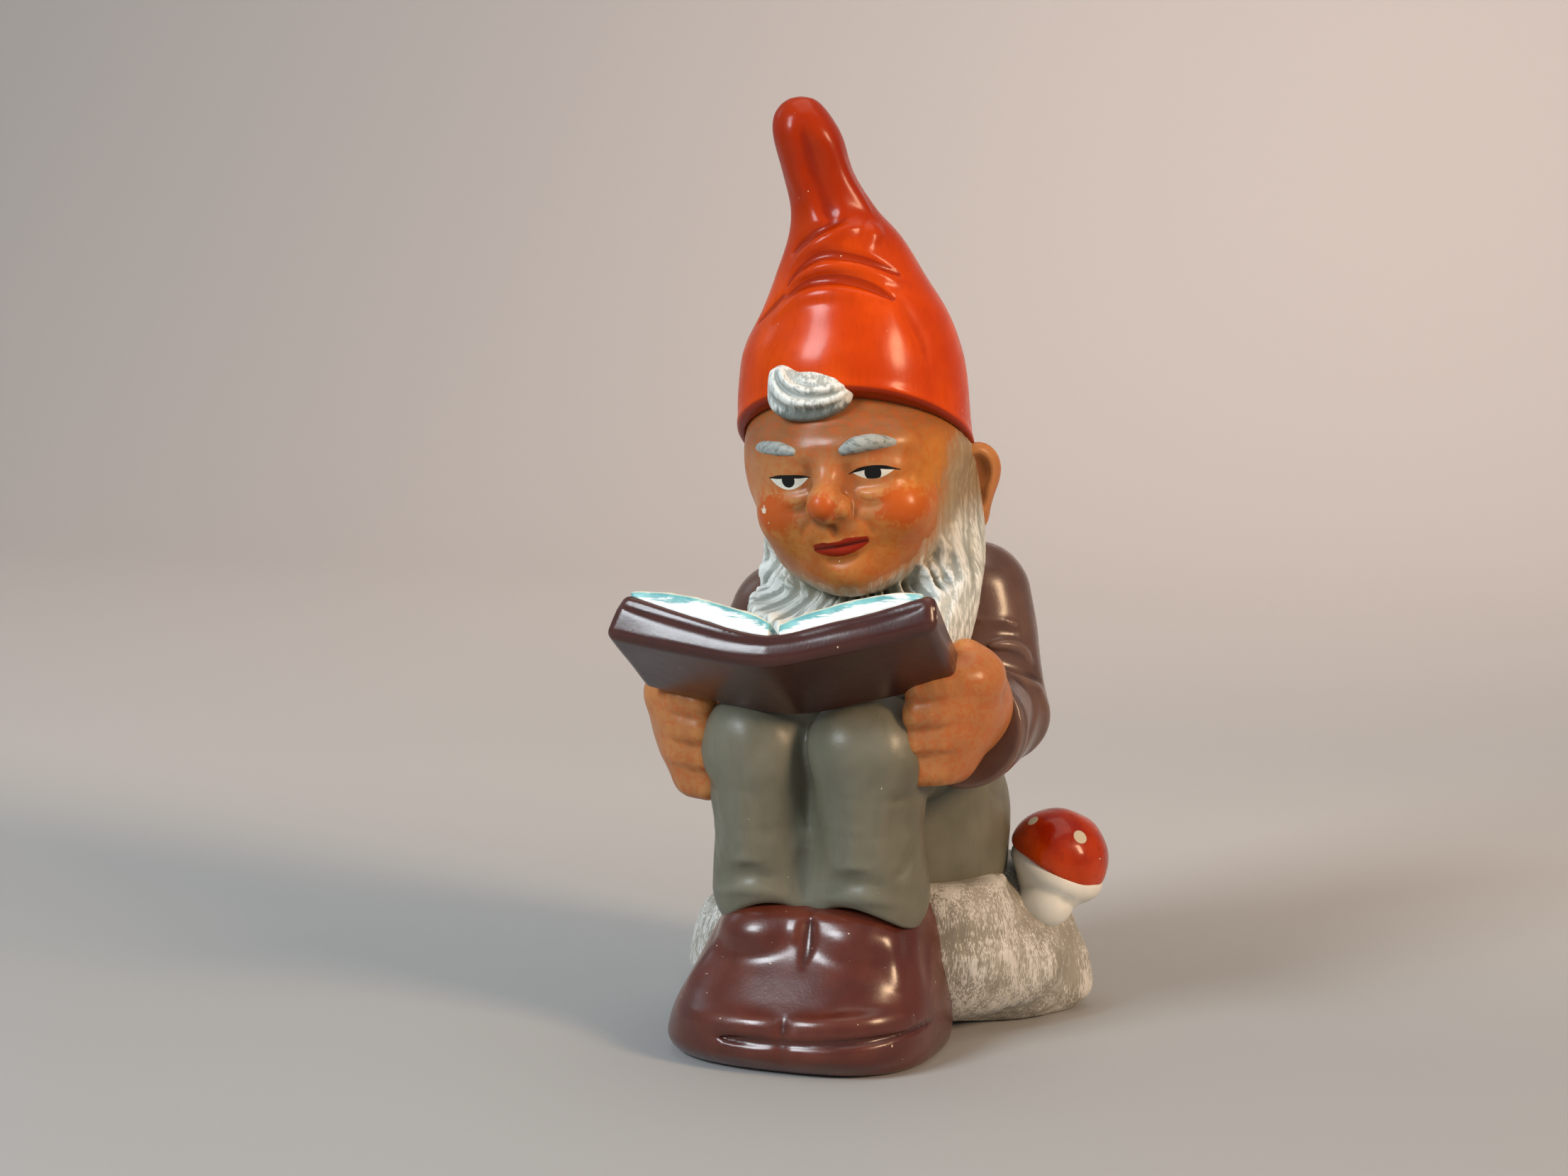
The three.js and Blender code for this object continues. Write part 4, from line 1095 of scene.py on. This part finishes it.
class Paint:
    """A material whose colour, gloss and fine relief are worked out by nodes."""

    def __init__(self, name, roughness, coat=0.0, coat_roughness=0.2):
        self.material = bpy.data.materials.new(name)
        self.material.use_nodes = True
        self.tree = self.material.node_tree
        self.shader = self.tree.nodes["Principled BSDF"]
        self.shader.inputs["Roughness"].default_value = roughness
        self.shader.inputs["Coat Weight"].default_value = coat
        self.shader.inputs["Coat Roughness"].default_value = coat_roughness
        self.place = self.node("TexCoord").outputs["Object"]
        PAINTS[name] = self.material

    def node(self, kind, inputs=None, **settings):
        made = self.tree.nodes.new("ShaderNode" + kind)
        for key, value in settings.items():
            setattr(made, key, value)
        for key, value in (inputs or {}).items():
            self.feed(made.inputs[key], value)
        return made

    def feed(self, socket, value):
        if isinstance(value, bpy.types.NodeSocket):
            self.tree.links.new(value, socket)
        else:
            socket.default_value = value

    def math(self, operation, a, b=0.0):
        return self.node("Math", {0: a, 1: b}, operation=operation).outputs[0]

    def vector_math(self, operation, a, b):
        return self.node("VectorMath", {0: a, 1: b}, operation=operation).outputs[0]

    def times(self, a, b):
        return self.math("MULTIPLY", a, b)

    def plus(self, a, b):
        return self.math("ADD", a, b)

    def minus(self, a, b):
        return self.math("SUBTRACT", a, b)

    def step(self, value, low, high, to_low=0.0, to_high=1.0):
        if low > high:
            low, high, to_low, to_high = high, low, to_high, to_low
        inputs = {"Value": value, "From Min": low, "From Max": high, "To Min": to_low, "To Max": to_high}
        return self.node("MapRange", inputs, interpolation_type="SMOOTHSTEP").outputs[0]

    def mix(self, share, a, b):
        return self.node("Mix", {0: share, 6: a, 7: b}, data_type="RGBA").outputs[2]

    def tint(self, color, share, code, strength=1.0):
        """The colour with a share of another one, given as a code, over it."""
        if strength < 1:
            share = self.times(share, strength)
        return self.mix(share, color, srgb(code))

    def value(self, name):
        return self.node("Attribute", attribute_name=name).outputs["Fac"]

    def vector(self, name):
        return self.node("Attribute", attribute_name=name).outputs["Vector"]

    def noise(self, size, detail=3.0, place=None, shift=0.0, rough=0.5, warp=0.0):
        """Noise with a size in millimetres, or one for each axis."""
        sizes = size if isinstance(size, tuple) else (size,) * 3
        unit = 1000 if place is None else 1
        source = self.place if place is None else place
        scaled = self.vector_math("MULTIPLY", source, tuple(unit / s for s in sizes))
        shifted = self.vector_math("ADD", scaled, (shift, shift * 0.7, shift * 1.3))
        inputs = {"Vector": shifted, "Scale": 1.0, "Detail": detail, "Roughness": rough, "Distortion": warp}
        return self.node("TexNoise", inputs).outputs["Fac"]

    def local(self, matrix):
        """Millimetres in a frame that is given in the figure's own frame."""
        where = (np.array(matrix.translation) + ORIGIN) / 1000
        inputs = {"Vector": self.place, "Location": tuple(where), "Rotation": tuple(matrix.to_euler()),
                  "Scale": (0.001,) * 3}
        return self.node("Mapping", inputs, vector_type="TEXTURE").outputs[0]

    def blob(self, vector, centre, radii, soft):
        """1 inside an ellipsoid and 0 outside, with an edge of some share of its radius."""
        shifted = self.vector_math("SUBTRACT", vector, centre)
        scaled = self.vector_math("DIVIDE", shifted, radii)
        length = self.node("VectorMath", {0: scaled}, operation="LENGTH").outputs["Value"]
        return self.step(length, 1 + soft, 1 - soft)

    def finish(self, color, bump=None, bump_depth=0.05, roughness=None):
        self.feed(self.shader.inputs["Base Color"], color)
        if roughness is not None:
            self.feed(self.shader.inputs["Roughness"], roughness)
        if bump is not None:
            inputs = {"Height": bump, "Distance": bump_depth / 1000, "Strength": 1.0}
            self.feed(self.shader.inputs["Normal"], self.node("Bump", inputs).outputs[0])
        return self.material

    def specks(self, color, size, amount, shift=0.0):
        """Tiny chips down to the cream plaster: the nearer the amount is to 1, the fewer there are."""
        return self.tint(color, self.step(self.noise(size, 2.0, shift=shift), amount, amount + 0.02), CREAM)


PAINTS = {}
CREAM = "#dfcdb4"  # bare plaster

# Knocks down to the plaster, in the figure's own frame
CHEEK_CHIP = (-19.4, -30.4, 151.2)
BROW_CHIPS = ((-18.6, -34.0, 168.1), (-21.0, -32.0, 169.3))
BOOK_CHIPS = ((42.6, -68.4, 131.4), (43.3, -67.0, 128.9), (41.4, -68.6, 132.8))


def hat_paint():
    p = Paint("hat_paint", 0.3, 0.24, 0.17)
    p.shader.inputs["Specular IOR Level"].default_value = 0.1
    color = p.mix(p.step(p.noise(18, 2.0), 0.35, 0.7), srgb("#c63c00"), srgb("#da4a00"))
    color = p.tint(color, p.step(p.noise((1.2, 1.2, 9.0), 3.0, shift=3), 0.45, 0.75), "#a63000", 0.25)
    # Painted shade towards the tip, in the folds and in a band along the brim
    height = p.node("SeparateXYZ", {0: p.place}).outputs[2]
    color = p.tint(color, p.step(height, 0.205, 0.248), "#8c1e00", 0.75)
    color = p.tint(color, p.step(p.value("relief"), -0.02, -0.2), "#7c1600", 0.6)
    color = p.tint(color, p.step(p.value("brim"), 1.5, 0.8), "#7c1e04", 0.8)
    color = p.specks(color, 1.6, 0.765)
    grain = p.plus(p.noise(0.7, 2.0), p.times(p.noise(3.5, 3.0), 2.0))
    return p.finish(color, grain, 0.03, p.step(p.noise(6, 3.0), 0.3, 0.7, 0.26, 0.38))


# In the head's frame: middle, half width, lid and lower edge (height, slope, bow), pupil (x, z, radius)
EYES = (
    (-10.5, 5.9, (9.4, -0.02, -0.012), (5.95, 0.0, 0.085), (-10.6, 8.5, 2.0)),
    (14.0, 6.3, (10.1, -0.03, -0.035), (7.0, -0.02, 0.06), (14.0, 8.7, 2.35)),
)


def eye(p, x, z, color, eye_x, half, lid, low, pupil):
    """One painted eye: the white between the lid and the lower edge, the pupil and the lid's dark line."""
    across = p.minus(x, eye_x)
    square = p.times(across, across)

    def edge(shape):
        line = p.plus(p.times(across, shape[1]), p.times(square, shape[2]))
        return p.minus(p.minus(z, shape[0]), line)

    above, below = edge(lid), edge(low)
    white = p.times(p.step(above, 0.1, -0.1), p.step(below, -0.1, 0.1))
    white = p.times(white, p.step(p.math("ABSOLUTE", across), half + 0.1, half - 0.1))
    color = p.tint(color, white, "#dcd6c6")
    px = p.minus(x, pupil[0])
    pz = p.minus(z, pupil[1])
    away = p.math("SQRT", p.plus(p.times(px, px), p.times(pz, pz)))
    dark = p.times(p.step(away, pupil[2] + 0.1, pupil[2] - 0.1), white)
    color = p.tint(color, dark, "#0c0a08")
    width = p.step(p.math("ABSOLUTE", across), half + 0.7, half - 3.0, 0.15, 0.52)
    line = p.step(p.minus(p.math("ABSOLUTE", p.minus(above, 0.2)), width), 0.1, -0.08)
    within = p.step(p.math("ABSOLUTE", across), half + 0.8, half + 0.5)
    return p.tint(color, p.times(line, within), "#0c0a08")


def chips(p, color, places, size, soft=0.2):
    """Single knocks down to the plaster, at places in the figure's own frame."""
    here = p.local(Matrix())
    wander = p.node("TexNoise", {"Vector": p.place, "Scale": 900.0, "Detail": 2.0}).outputs["Color"]
    push = p.vector_math("SUBTRACT", wander, (0.5,) * 3)
    pushed = p.node("VectorMath", {0: push, 1: (3.0,) * 3, 2: here}, operation="MULTIPLY_ADD").outputs[0]
    for n, centre in enumerate(places):
        r = size * (1 - 0.2 * (n % 3))
        knock = p.blob(pushed, centre, (r, 2.4 * r, r), soft)
        color = p.tint(color, knock, CREAM)
    return color


def skin_tone(p, z):
    """Warm brown, patchy, darker and brushed level on the forehead, with painted shade in the recesses and a
    painted highlight on what stands proud.
    """
    broad = p.step(p.noise(16, 2.0), 0.3, 0.7)
    color = p.mix(broad, srgb("#b0632d"), srgb("#c67b3a"))
    patches = p.step(p.noise((8.0, 8.0, 4.5), 3.0, shift=5, warp=0.4), 0.42, 0.7)
    color = p.tint(color, patches, "#965525", 0.28)
    # The hands and ears are a little pinker than the face
    color = p.tint(color, p.step(p.value("hair"), -17.0, -19.5, 0.0, 0.5), "#b07a50")
    forehead = p.step(z, 12.0, 20.0)
    color = p.tint(color, forehead, "#86502a", 0.7)
    strokes = p.step(p.noise((7.0, 7.0, 1.2), 4.0, shift=12, warp=0.5), 0.45, 0.7)
    color = p.tint(color, p.times(strokes, forehead), "#74492b", 0.3)
    # Painted shade in the recesses, and a painted highlight on what stands proud
    color = p.tint(color, p.step(p.value("relief"), -0.03, -0.2), "#74380f", 0.55)
    return p.tint(color, p.step(p.value("relief"), 0.06, 0.22), "#d6944f", 0.3)


def blush(p, color, here, front):
    """Orange on the cheeks and the tip of the nose, and a pool of painted warm light, in yellow, on the
    gnome's left temple.
    """
    mottle = p.step(p.noise(2.2, 4.0, shift=8, warp=0.8), 0.3, 0.6, 0.35, 1.0)
    cheeks = (((-15.8, -30, -0.6), (5.9, 30, 5.4)), ((20.8, -28, -1.4), (6.3, 30, 4.7)))
    nose = ((0.8, -42, 1.6), (4.1, 8, 4.1))
    for centre, radii in (*cheeks, nose):
        spot = p.blob(here, centre, radii, 0.55)
        spot = p.step(p.plus(spot, p.times(p.minus(mottle, 0.7), 0.8)), 0.05, 0.85)
        color = p.tint(color, p.times(spot, front), "#bb4c0a", 0.85)
    # A pool of painted warm light on the gnome's left temple
    temple = p.blob(here, (25.0, -12.0, 4.0), (9.0, 14.0, 12.0), 0.7)
    return p.tint(color, temple, "#d08a24", 0.3)


def lips(p, color, here, x, z, front):
    """Painted lips: a cupid's bow above, one bow below and a dark line between."""
    across = p.minus(x, 2.7)
    square = p.times(across, across)
    slope = p.times(across, 0.085)
    dip = p.blob(here, (1.6, -33, -9.0), (2.6, 20, 1.4), 0.5)
    top = p.plus(p.minus(-8.2, p.times(square, 0.014)), slope)
    top = p.minus(top, p.times(dip, 0.6))
    bottom = p.plus(p.plus(-13.3, p.times(square, 0.037)), slope)
    inside = p.times(p.step(p.minus(z, top), 0.12, -0.12), p.step(p.minus(z, bottom), -0.12, 0.12))
    inside = p.times(p.times(inside, front), p.step(p.math("ABSOLUTE", across), 8.3, 7.7))
    between = p.math("ABSOLUTE", p.minus(p.minus(z, slope), -10.35))
    red = p.mix(p.step(between, 0.6, 0.1), srgb("#9a2204"), srgb("#5e1002"))
    return p.mix(inside, color, red)


def skin_paint():
    p = Paint("skin_paint", 0.38, 0.2, 0.24)
    p.shader.inputs["Specular IOR Level"].default_value = 0.2
    here = p.local(HEAD_FRAME)
    x, y, z = p.node("SeparateXYZ", {0: here}).outputs
    front = p.step(y, -8.0, -14.0)
    color = blush(p, skin_tone(p, z), here, front)
    bare = lips(p, color, here, x, z, front)
    color = bare
    for shape in EYES:
        color = eye(p, x, z, color, *shape)
    color = p.mix(front, bare, color)
    # A thin wash of hair strokes where the beard and whiskers begin
    hair = p.step(p.value("hair"), -5.0, 1.0)
    hair = p.times(hair, p.step(p.noise((1.0, 1.0, 5.0), 3.0, shift=14), 0.35, 0.6))
    color = p.tint(color, hair, "#8c7250", 0.5)
    color = p.specks(color, 1.5, 0.775, 2.0)
    color = chips(p, color, (CHEEK_CHIP,), 1.0)
    grain = p.plus(p.noise(0.8, 2.0), p.times(p.noise(4, 2.0), 2.0))
    return p.finish(color, grain, 0.03, p.step(p.noise(7, 3.0), 0.3, 0.7, 0.3, 0.44))


def hair_paint():
    p = Paint("hair_paint", 0.5, 0.15, 0.3)
    strand = p.vector("strand")
    dull = p.value("brow")
    whisker = p.value("whisker")
    color = p.mix(p.step(p.noise(9, 2.0), 0.35, 0.65), srgb("#a1a6a0"), srgb("#b5b9b2"))
    color = p.tint(color, dull, "#5f6762", 0.6)
    # Painted shade in the grooves between the strands
    color = p.tint(color, p.step(p.value("relief"), -0.04, -0.24), "#777b73", 0.4)
    # White, brushed dry over the strands
    brush = p.noise((0.42, 5.0, 0.5), 4.0, strand, rough=0.6)
    soft = p.noise((1.3, 4.0, 1.3), 3.0, strand, shift=4, rough=0.5)
    dry = p.plus(p.times(p.value("relief"), 1.1), p.minus(brush, 0.5))
    dry = p.times(p.step(dry, -0.03, 0.13), p.step(soft, 0.34, 0.54))
    amount = p.minus(0.72, p.times(dull, 0.4))
    color = p.tint(color, p.times(dry, amount), "#f2f4ef")
    # Beside the ear the beard is a brown wash with a few light strokes
    height = p.node("SeparateXYZ", {0: p.local(HEAD_FRAME)}).outputs[2]
    upper = p.times(p.step(height, -17.0, -4.0), whisker)
    wood = p.mix(p.times(dry, 0.4), srgb("#8c7350"), srgb("#c4ab84"))
    color = p.mix(p.times(upper, 0.92), color, wood)
    # Between the skin and the beard the hair is a thin wash of strokes over the skin
    far = p.plus(p.value("hair"), p.times(p.minus(brush, 0.5), 14.0))
    color = p.tint(color, p.times(p.step(far, 11.0, 3.0), whisker), "#a88a62", 0.5)
    color = p.tint(color, p.times(p.step(far, 4.5, -1.0), whisker), "#b0713a", 0.9)
    color = chips(p, color, BROW_CHIPS, 0.8)
    grain = p.plus(brush, p.times(p.noise(2.5, 3.0), 0.8))
    return p.finish(color, grain, 0.1, p.step(dry, 0.0, 1.0, 0.4, 0.62))


def plain_paint(name, colors, roughness, coat, chance, seed, knocks):
    """Brushed paint in one hue. The colours are two that mix broadly, one for a painted highlight on what
    stands proud, and one for dark brush streaks and painted shade in the recesses.
    """
    main, other, edges, hollows = colors.split()
    p = Paint(name, sum(roughness) / 2, *coat)
    p.shader.inputs["Specular IOR Level"].default_value = 0.3
    color = p.mix(p.step(p.noise(16, 2.0, shift=seed), 0.3, 0.7), srgb(main), srgb(other))
    streaks = p.step(p.noise((3.0, 3.0, 10.0), 3.0, shift=seed + 3, warp=0.4), 0.45, 0.75)
    color = p.tint(color, streaks, hollows, 0.15)
    # Painted shade in the recesses, and a painted highlight on what stands proud
    color = p.tint(color, p.step(p.value("relief"), -0.03, -0.24), hollows, 0.5)
    color = p.tint(color, p.step(p.value("relief"), 0.08, 0.3), edges, 0.25)
    color = p.specks(color, 1.8, chance, seed + 1)
    color = chips(p, color, knocks, 1.1)
    grain = p.plus(p.noise(0.8, 2.0), p.times(p.noise(3.8, 3.0, shift=seed), 2.0))
    return p.finish(color, grain, 0.035, p.step(p.noise(6, 3.0, shift=seed + 2), 0.3, 0.7, *roughness))


def rock_paint():
    p = Paint("rock_paint", 0.75)
    color = p.mix(p.step(p.noise(14, 3.0), 0.35, 0.65), srgb("#918b7e"), srgb("#a39e92"))
    # Painted shade in the recesses
    color = p.tint(color, p.step(p.value("relief"), 0.0, -0.14), "#7d7669", 0.3)
    # White, brushed dry in upright strokes over what stands proud, more in some patches than in others
    brush = p.noise((0.45, 0.45, 2.8), 5.0, rough=0.66, warp=0.35)
    clumps = p.noise((13.0, 13.0, 15.0), 4.0, shift=4, rough=0.6)
    dry = p.plus(p.times(p.value("relief"), 0.7), p.times(p.minus(brush, 0.5), 1.2))
    dry = p.step(p.plus(dry, p.times(p.minus(clumps, 0.5), 0.7)), -0.02, 0.13)
    color = p.tint(color, dry, "#e9e7e1", 0.72)
    grain = p.plus(brush, p.times(p.noise(1.6, 3.0), 0.8))
    return p.finish(color, grain, 0.12, p.step(dry, 0.0, 1.0, 0.6, 0.85))


def page_paint():
    p = Paint("page_paint", 0.45, 0.2, 0.25)
    back_from_end = p.node("SeparateXYZ", {0: p.local(BOOK_FRAME)}).outputs[1]
    depth = p.value("depth")
    streak = p.noise((6.0, 4.0, 0.9), 5.0, rough=0.65, warp=0.8)
    wash = p.mix(p.step(p.noise(7, 2.0), 0.35, 0.65), srgb("#2f959e"), srgb("#66bcbe"))
    # Turquoise along the top edge of the page ends, loosely brushed, and white below it
    blue = p.step(p.plus(depth, p.times(p.minus(streak, 0.5), 7.0)), 2.9, 1.9)
    blue = p.times(blue, p.step(p.noise((9.0, 9.0, 3.0), 3.0, shift=2), 0.3, 0.44))
    color = p.mix(p.times(blue, 0.9), srgb("#e4ebec"), wash)
    lines = p.step(p.noise((14.0, 1.6, 14.0), 3.0, shift=9), 0.5, 0.6)
    color = p.tint(color, p.times(lines, p.step(back_from_end, 1.6, 3.4)), "#7cc0c4", 0.5)
    rim = p.times(p.step(p.value("relief"), 0.16, 0.26), p.step(depth, 0.9, 0.5))
    color = p.tint(color, rim, "#e9e0c8", 0.8)
    return p.finish(color, streak, 0.08)


def cap_paint():
    p = Paint("cap_paint", 0.25, 0.35, 0.1)
    p.shader.inputs["Specular IOR Level"].default_value = 0.15
    here = p.local(CAP_FRAME)
    lower = p.step(p.node("SeparateXYZ", {0: here}).outputs[2], 8.0, 1.0)
    color = p.mix(p.step(p.noise(9, 3.0), 0.35, 0.65), srgb("#971f02"), srgb("#b53602"))
    color = p.tint(color, lower, "#c84602", 0.6)
    streaks = p.step(p.noise((1.6, 1.6, 5.0), 3.0, shift=6, warp=0.6), 0.5, 0.75)
    color = p.tint(color, streaks, "#741606", 0.35)
    for n, centre in enumerate(CAP_DOTS):
        color = p.tint(color, p.blob(here, centre, (1.7 + 0.4 * (n % 2),) * 3, 0.08), "#cfc6ae")
    color = p.specks(color, 1.6, 0.77, 4.0)
    return p.finish(color, p.noise(2.0, 3.0), 0.04, p.step(p.noise(5, 3.0), 0.3, 0.7, 0.18, 0.32))


# Name, colours, roughness, coat, chips, seed and single knocks
PLAIN_PAINTS = (
    ("trouser_paint", "#666454 #747161 #8d8c7c #4b493c", (0.36, 0.5), (0.2, 0.3), 0.775, 11.0, ()),
    ("jacket_paint", "#563a30 #6b4c3e #967867 #2e1c17", (0.27, 0.37), (0.6, 0.26), 0.77, 23.0, ()),
    ("shoe_paint", "#4e1f14 #602a1b #7e4636 #2c100b", (0.26, 0.36), (0.65, 0.24), 0.76, 37.0, ()),
    ("cover_paint", "#391712 #421d17 #653a31 #240e0b", (0.28, 0.32), (0.5, 0.24), 0.77, 41.0, BOOK_CHIPS),
    ("stem_paint", "#dadad1 #e6e5dc #f0eee6 #b8b9ae", (0.45, 0.6), (0.15, 0.35), 0.79, 53.0, ()),
)


def make_paints():
    hat_paint()
    skin_paint()
    hair_paint()
    rock_paint()
    page_paint()
    cap_paint()
    for settings in PLAIN_PAINTS:
        plain_paint(*settings)


# The object

def make_figure():
    rock()
    seat()
    legs()
    shoes()
    torso()
    book_cover()
    head_field = head_clay()
    head(head_field)
    for side in ("left", "right"):
        sleeve(side)
        hand(side)
        pages(side)
        ear(side)
        eyebrow(side)
    forelock()
    beard(head_field)
    hat(head_field)
    mushroom_cap()
    mushroom_stem()


# Stage, light and camera

def sweep(name, width, front, depth, height, radius):
    """A floor that curves up into a backdrop, as one sheet."""
    profile = [(-front, 0.0)]
    bend = 16
    for i in range(bend + 1):
        a = math.pi / 2 * i / bend
        profile.append((depth - radius + radius * math.sin(a), radius - radius * math.cos(a)))
    profile.append((depth, height))
    verts = [(x, y, z) for y, z in profile for x in (-width, width)]
    faces = [(2 * i, 2 * i + 1, 2 * i + 3, 2 * i + 2) for i in range(len(profile) - 1)]
    mesh = bpy.data.meshes.new(name)
    mesh.from_pydata(verts, [], faces)
    mesh.shade_smooth()
    made = bpy.data.objects.new(name, mesh)
    bpy.context.scene.collection.objects.link(made)
    return made


# Name, place, target, size, watts, colour and spread in degrees
LAMPS = (
    ("cool_window", (-0.66, -1.21, 1.0), (0, 0, 0.13), (0.5, 0.52), 19.5, (0.86, 0.94, 1.0), 180),
    ("warm_room", (1.25, -0.45, 0.75), (0, 0, 0.13), (0.3, 0.44), 4.4, (1.0, 0.68, 0.42), 100),
    ("overhead", (0.1, 0.1, 1.7), (0, 0, 0.1), (1.4, 1.2), 6.5, (1.0, 0.88, 0.74), 180),
    ("wall_wash", (0.3, 0.72, 1.15), (-0.36, 1.65, 0.42), (0.6, 0.6), 5.4, (1.0, 0.76, 0.64), 120),
    ("wall_cool", (-1.9, 0.4, 1.3), (-1.0, 1.7, 0.4), (0.8, 0.8), 2.4, (0.72, 0.87, 1.0), 180),
)


def lamp(name, place, target, size, watts, color, spread):
    light = bpy.data.lights.new(name, "AREA")
    light.shape = "RECTANGLE"
    light.size, light.size_y = size
    light.energy = watts
    light.color = color
    light.spread = math.radians(spread)
    made = bpy.data.objects.new(name, light)
    bpy.context.scene.collection.objects.link(made)
    made.location = place
    made.rotation_euler = (Vector(target) - Vector(place)).to_track_quat("-Z", "Y").to_euler()
    return made


def make_stage():
    backdrop = sweep("backdrop", width=3.2, front=2.6, depth=1.9, height=2.6, radius=0.9)
    p = Paint("backdrop_paper", 0.85)
    parts = p.node("SeparateXYZ", {0: p.place}).outputs
    # Painted light: the paper is lighter and warmer behind the figure
    color = p.mix(p.step(parts[1], 0.0, 0.35), srgb("#a6a6a5"), srgb("#c8c2bd"))
    p.finish(color, p.noise(3.0, 3.0), 0.05)
    backdrop.data.materials.append(p.material)
    world = bpy.data.worlds.new("soft_room")
    bpy.context.scene.world = world
    world.use_nodes = True
    background = world.node_tree.nodes["Background"]
    background.inputs["Color"].default_value = (0.8, 0.88, 0.96, 1)
    background.inputs["Strength"].default_value = 0.3
    for settings in LAMPS:
        lamp(*settings)


def make_camera():
    yaw, pitch = PHOTO_YAW, PHOTO_PITCH
    level = math.cos(pitch)
    out = Vector((math.sin(yaw) * level, -math.cos(yaw) * level, math.sin(pitch)))
    right = Vector((math.cos(yaw), math.sin(yaw), 0))
    up = out.cross(right)
    aside, below = PHOTO_OFFSET
    place = PHOTO_TARGET + PHOTO_AWAY * out - aside * right - below * up + Vector(ORIGIN)
    camera = bpy.data.cameras.new("photo_view")
    camera.sensor_fit = "HORIZONTAL"
    camera.sensor_width = SENSOR
    camera.lens = SENSOR * PHOTO_FOCAL / PHOTO_WIDTH
    camera.clip_start = 0.05
    made = bpy.data.objects.new("photo_view", camera)
    bpy.context.scene.collection.objects.link(made)
    made.matrix_world = Matrix((
        (right.x, up.x, out.x, place.x / 1000),
        (right.y, up.y, out.y, place.y / 1000),
        (right.z, up.z, out.z, place.z / 1000),
        (0, 0, 0, 1),
    ))
    bpy.context.scene.camera = made


make_paints()
make_figure()
make_stage()
make_camera()
bpy.context.scene.view_settings.view_transform = "Standard"
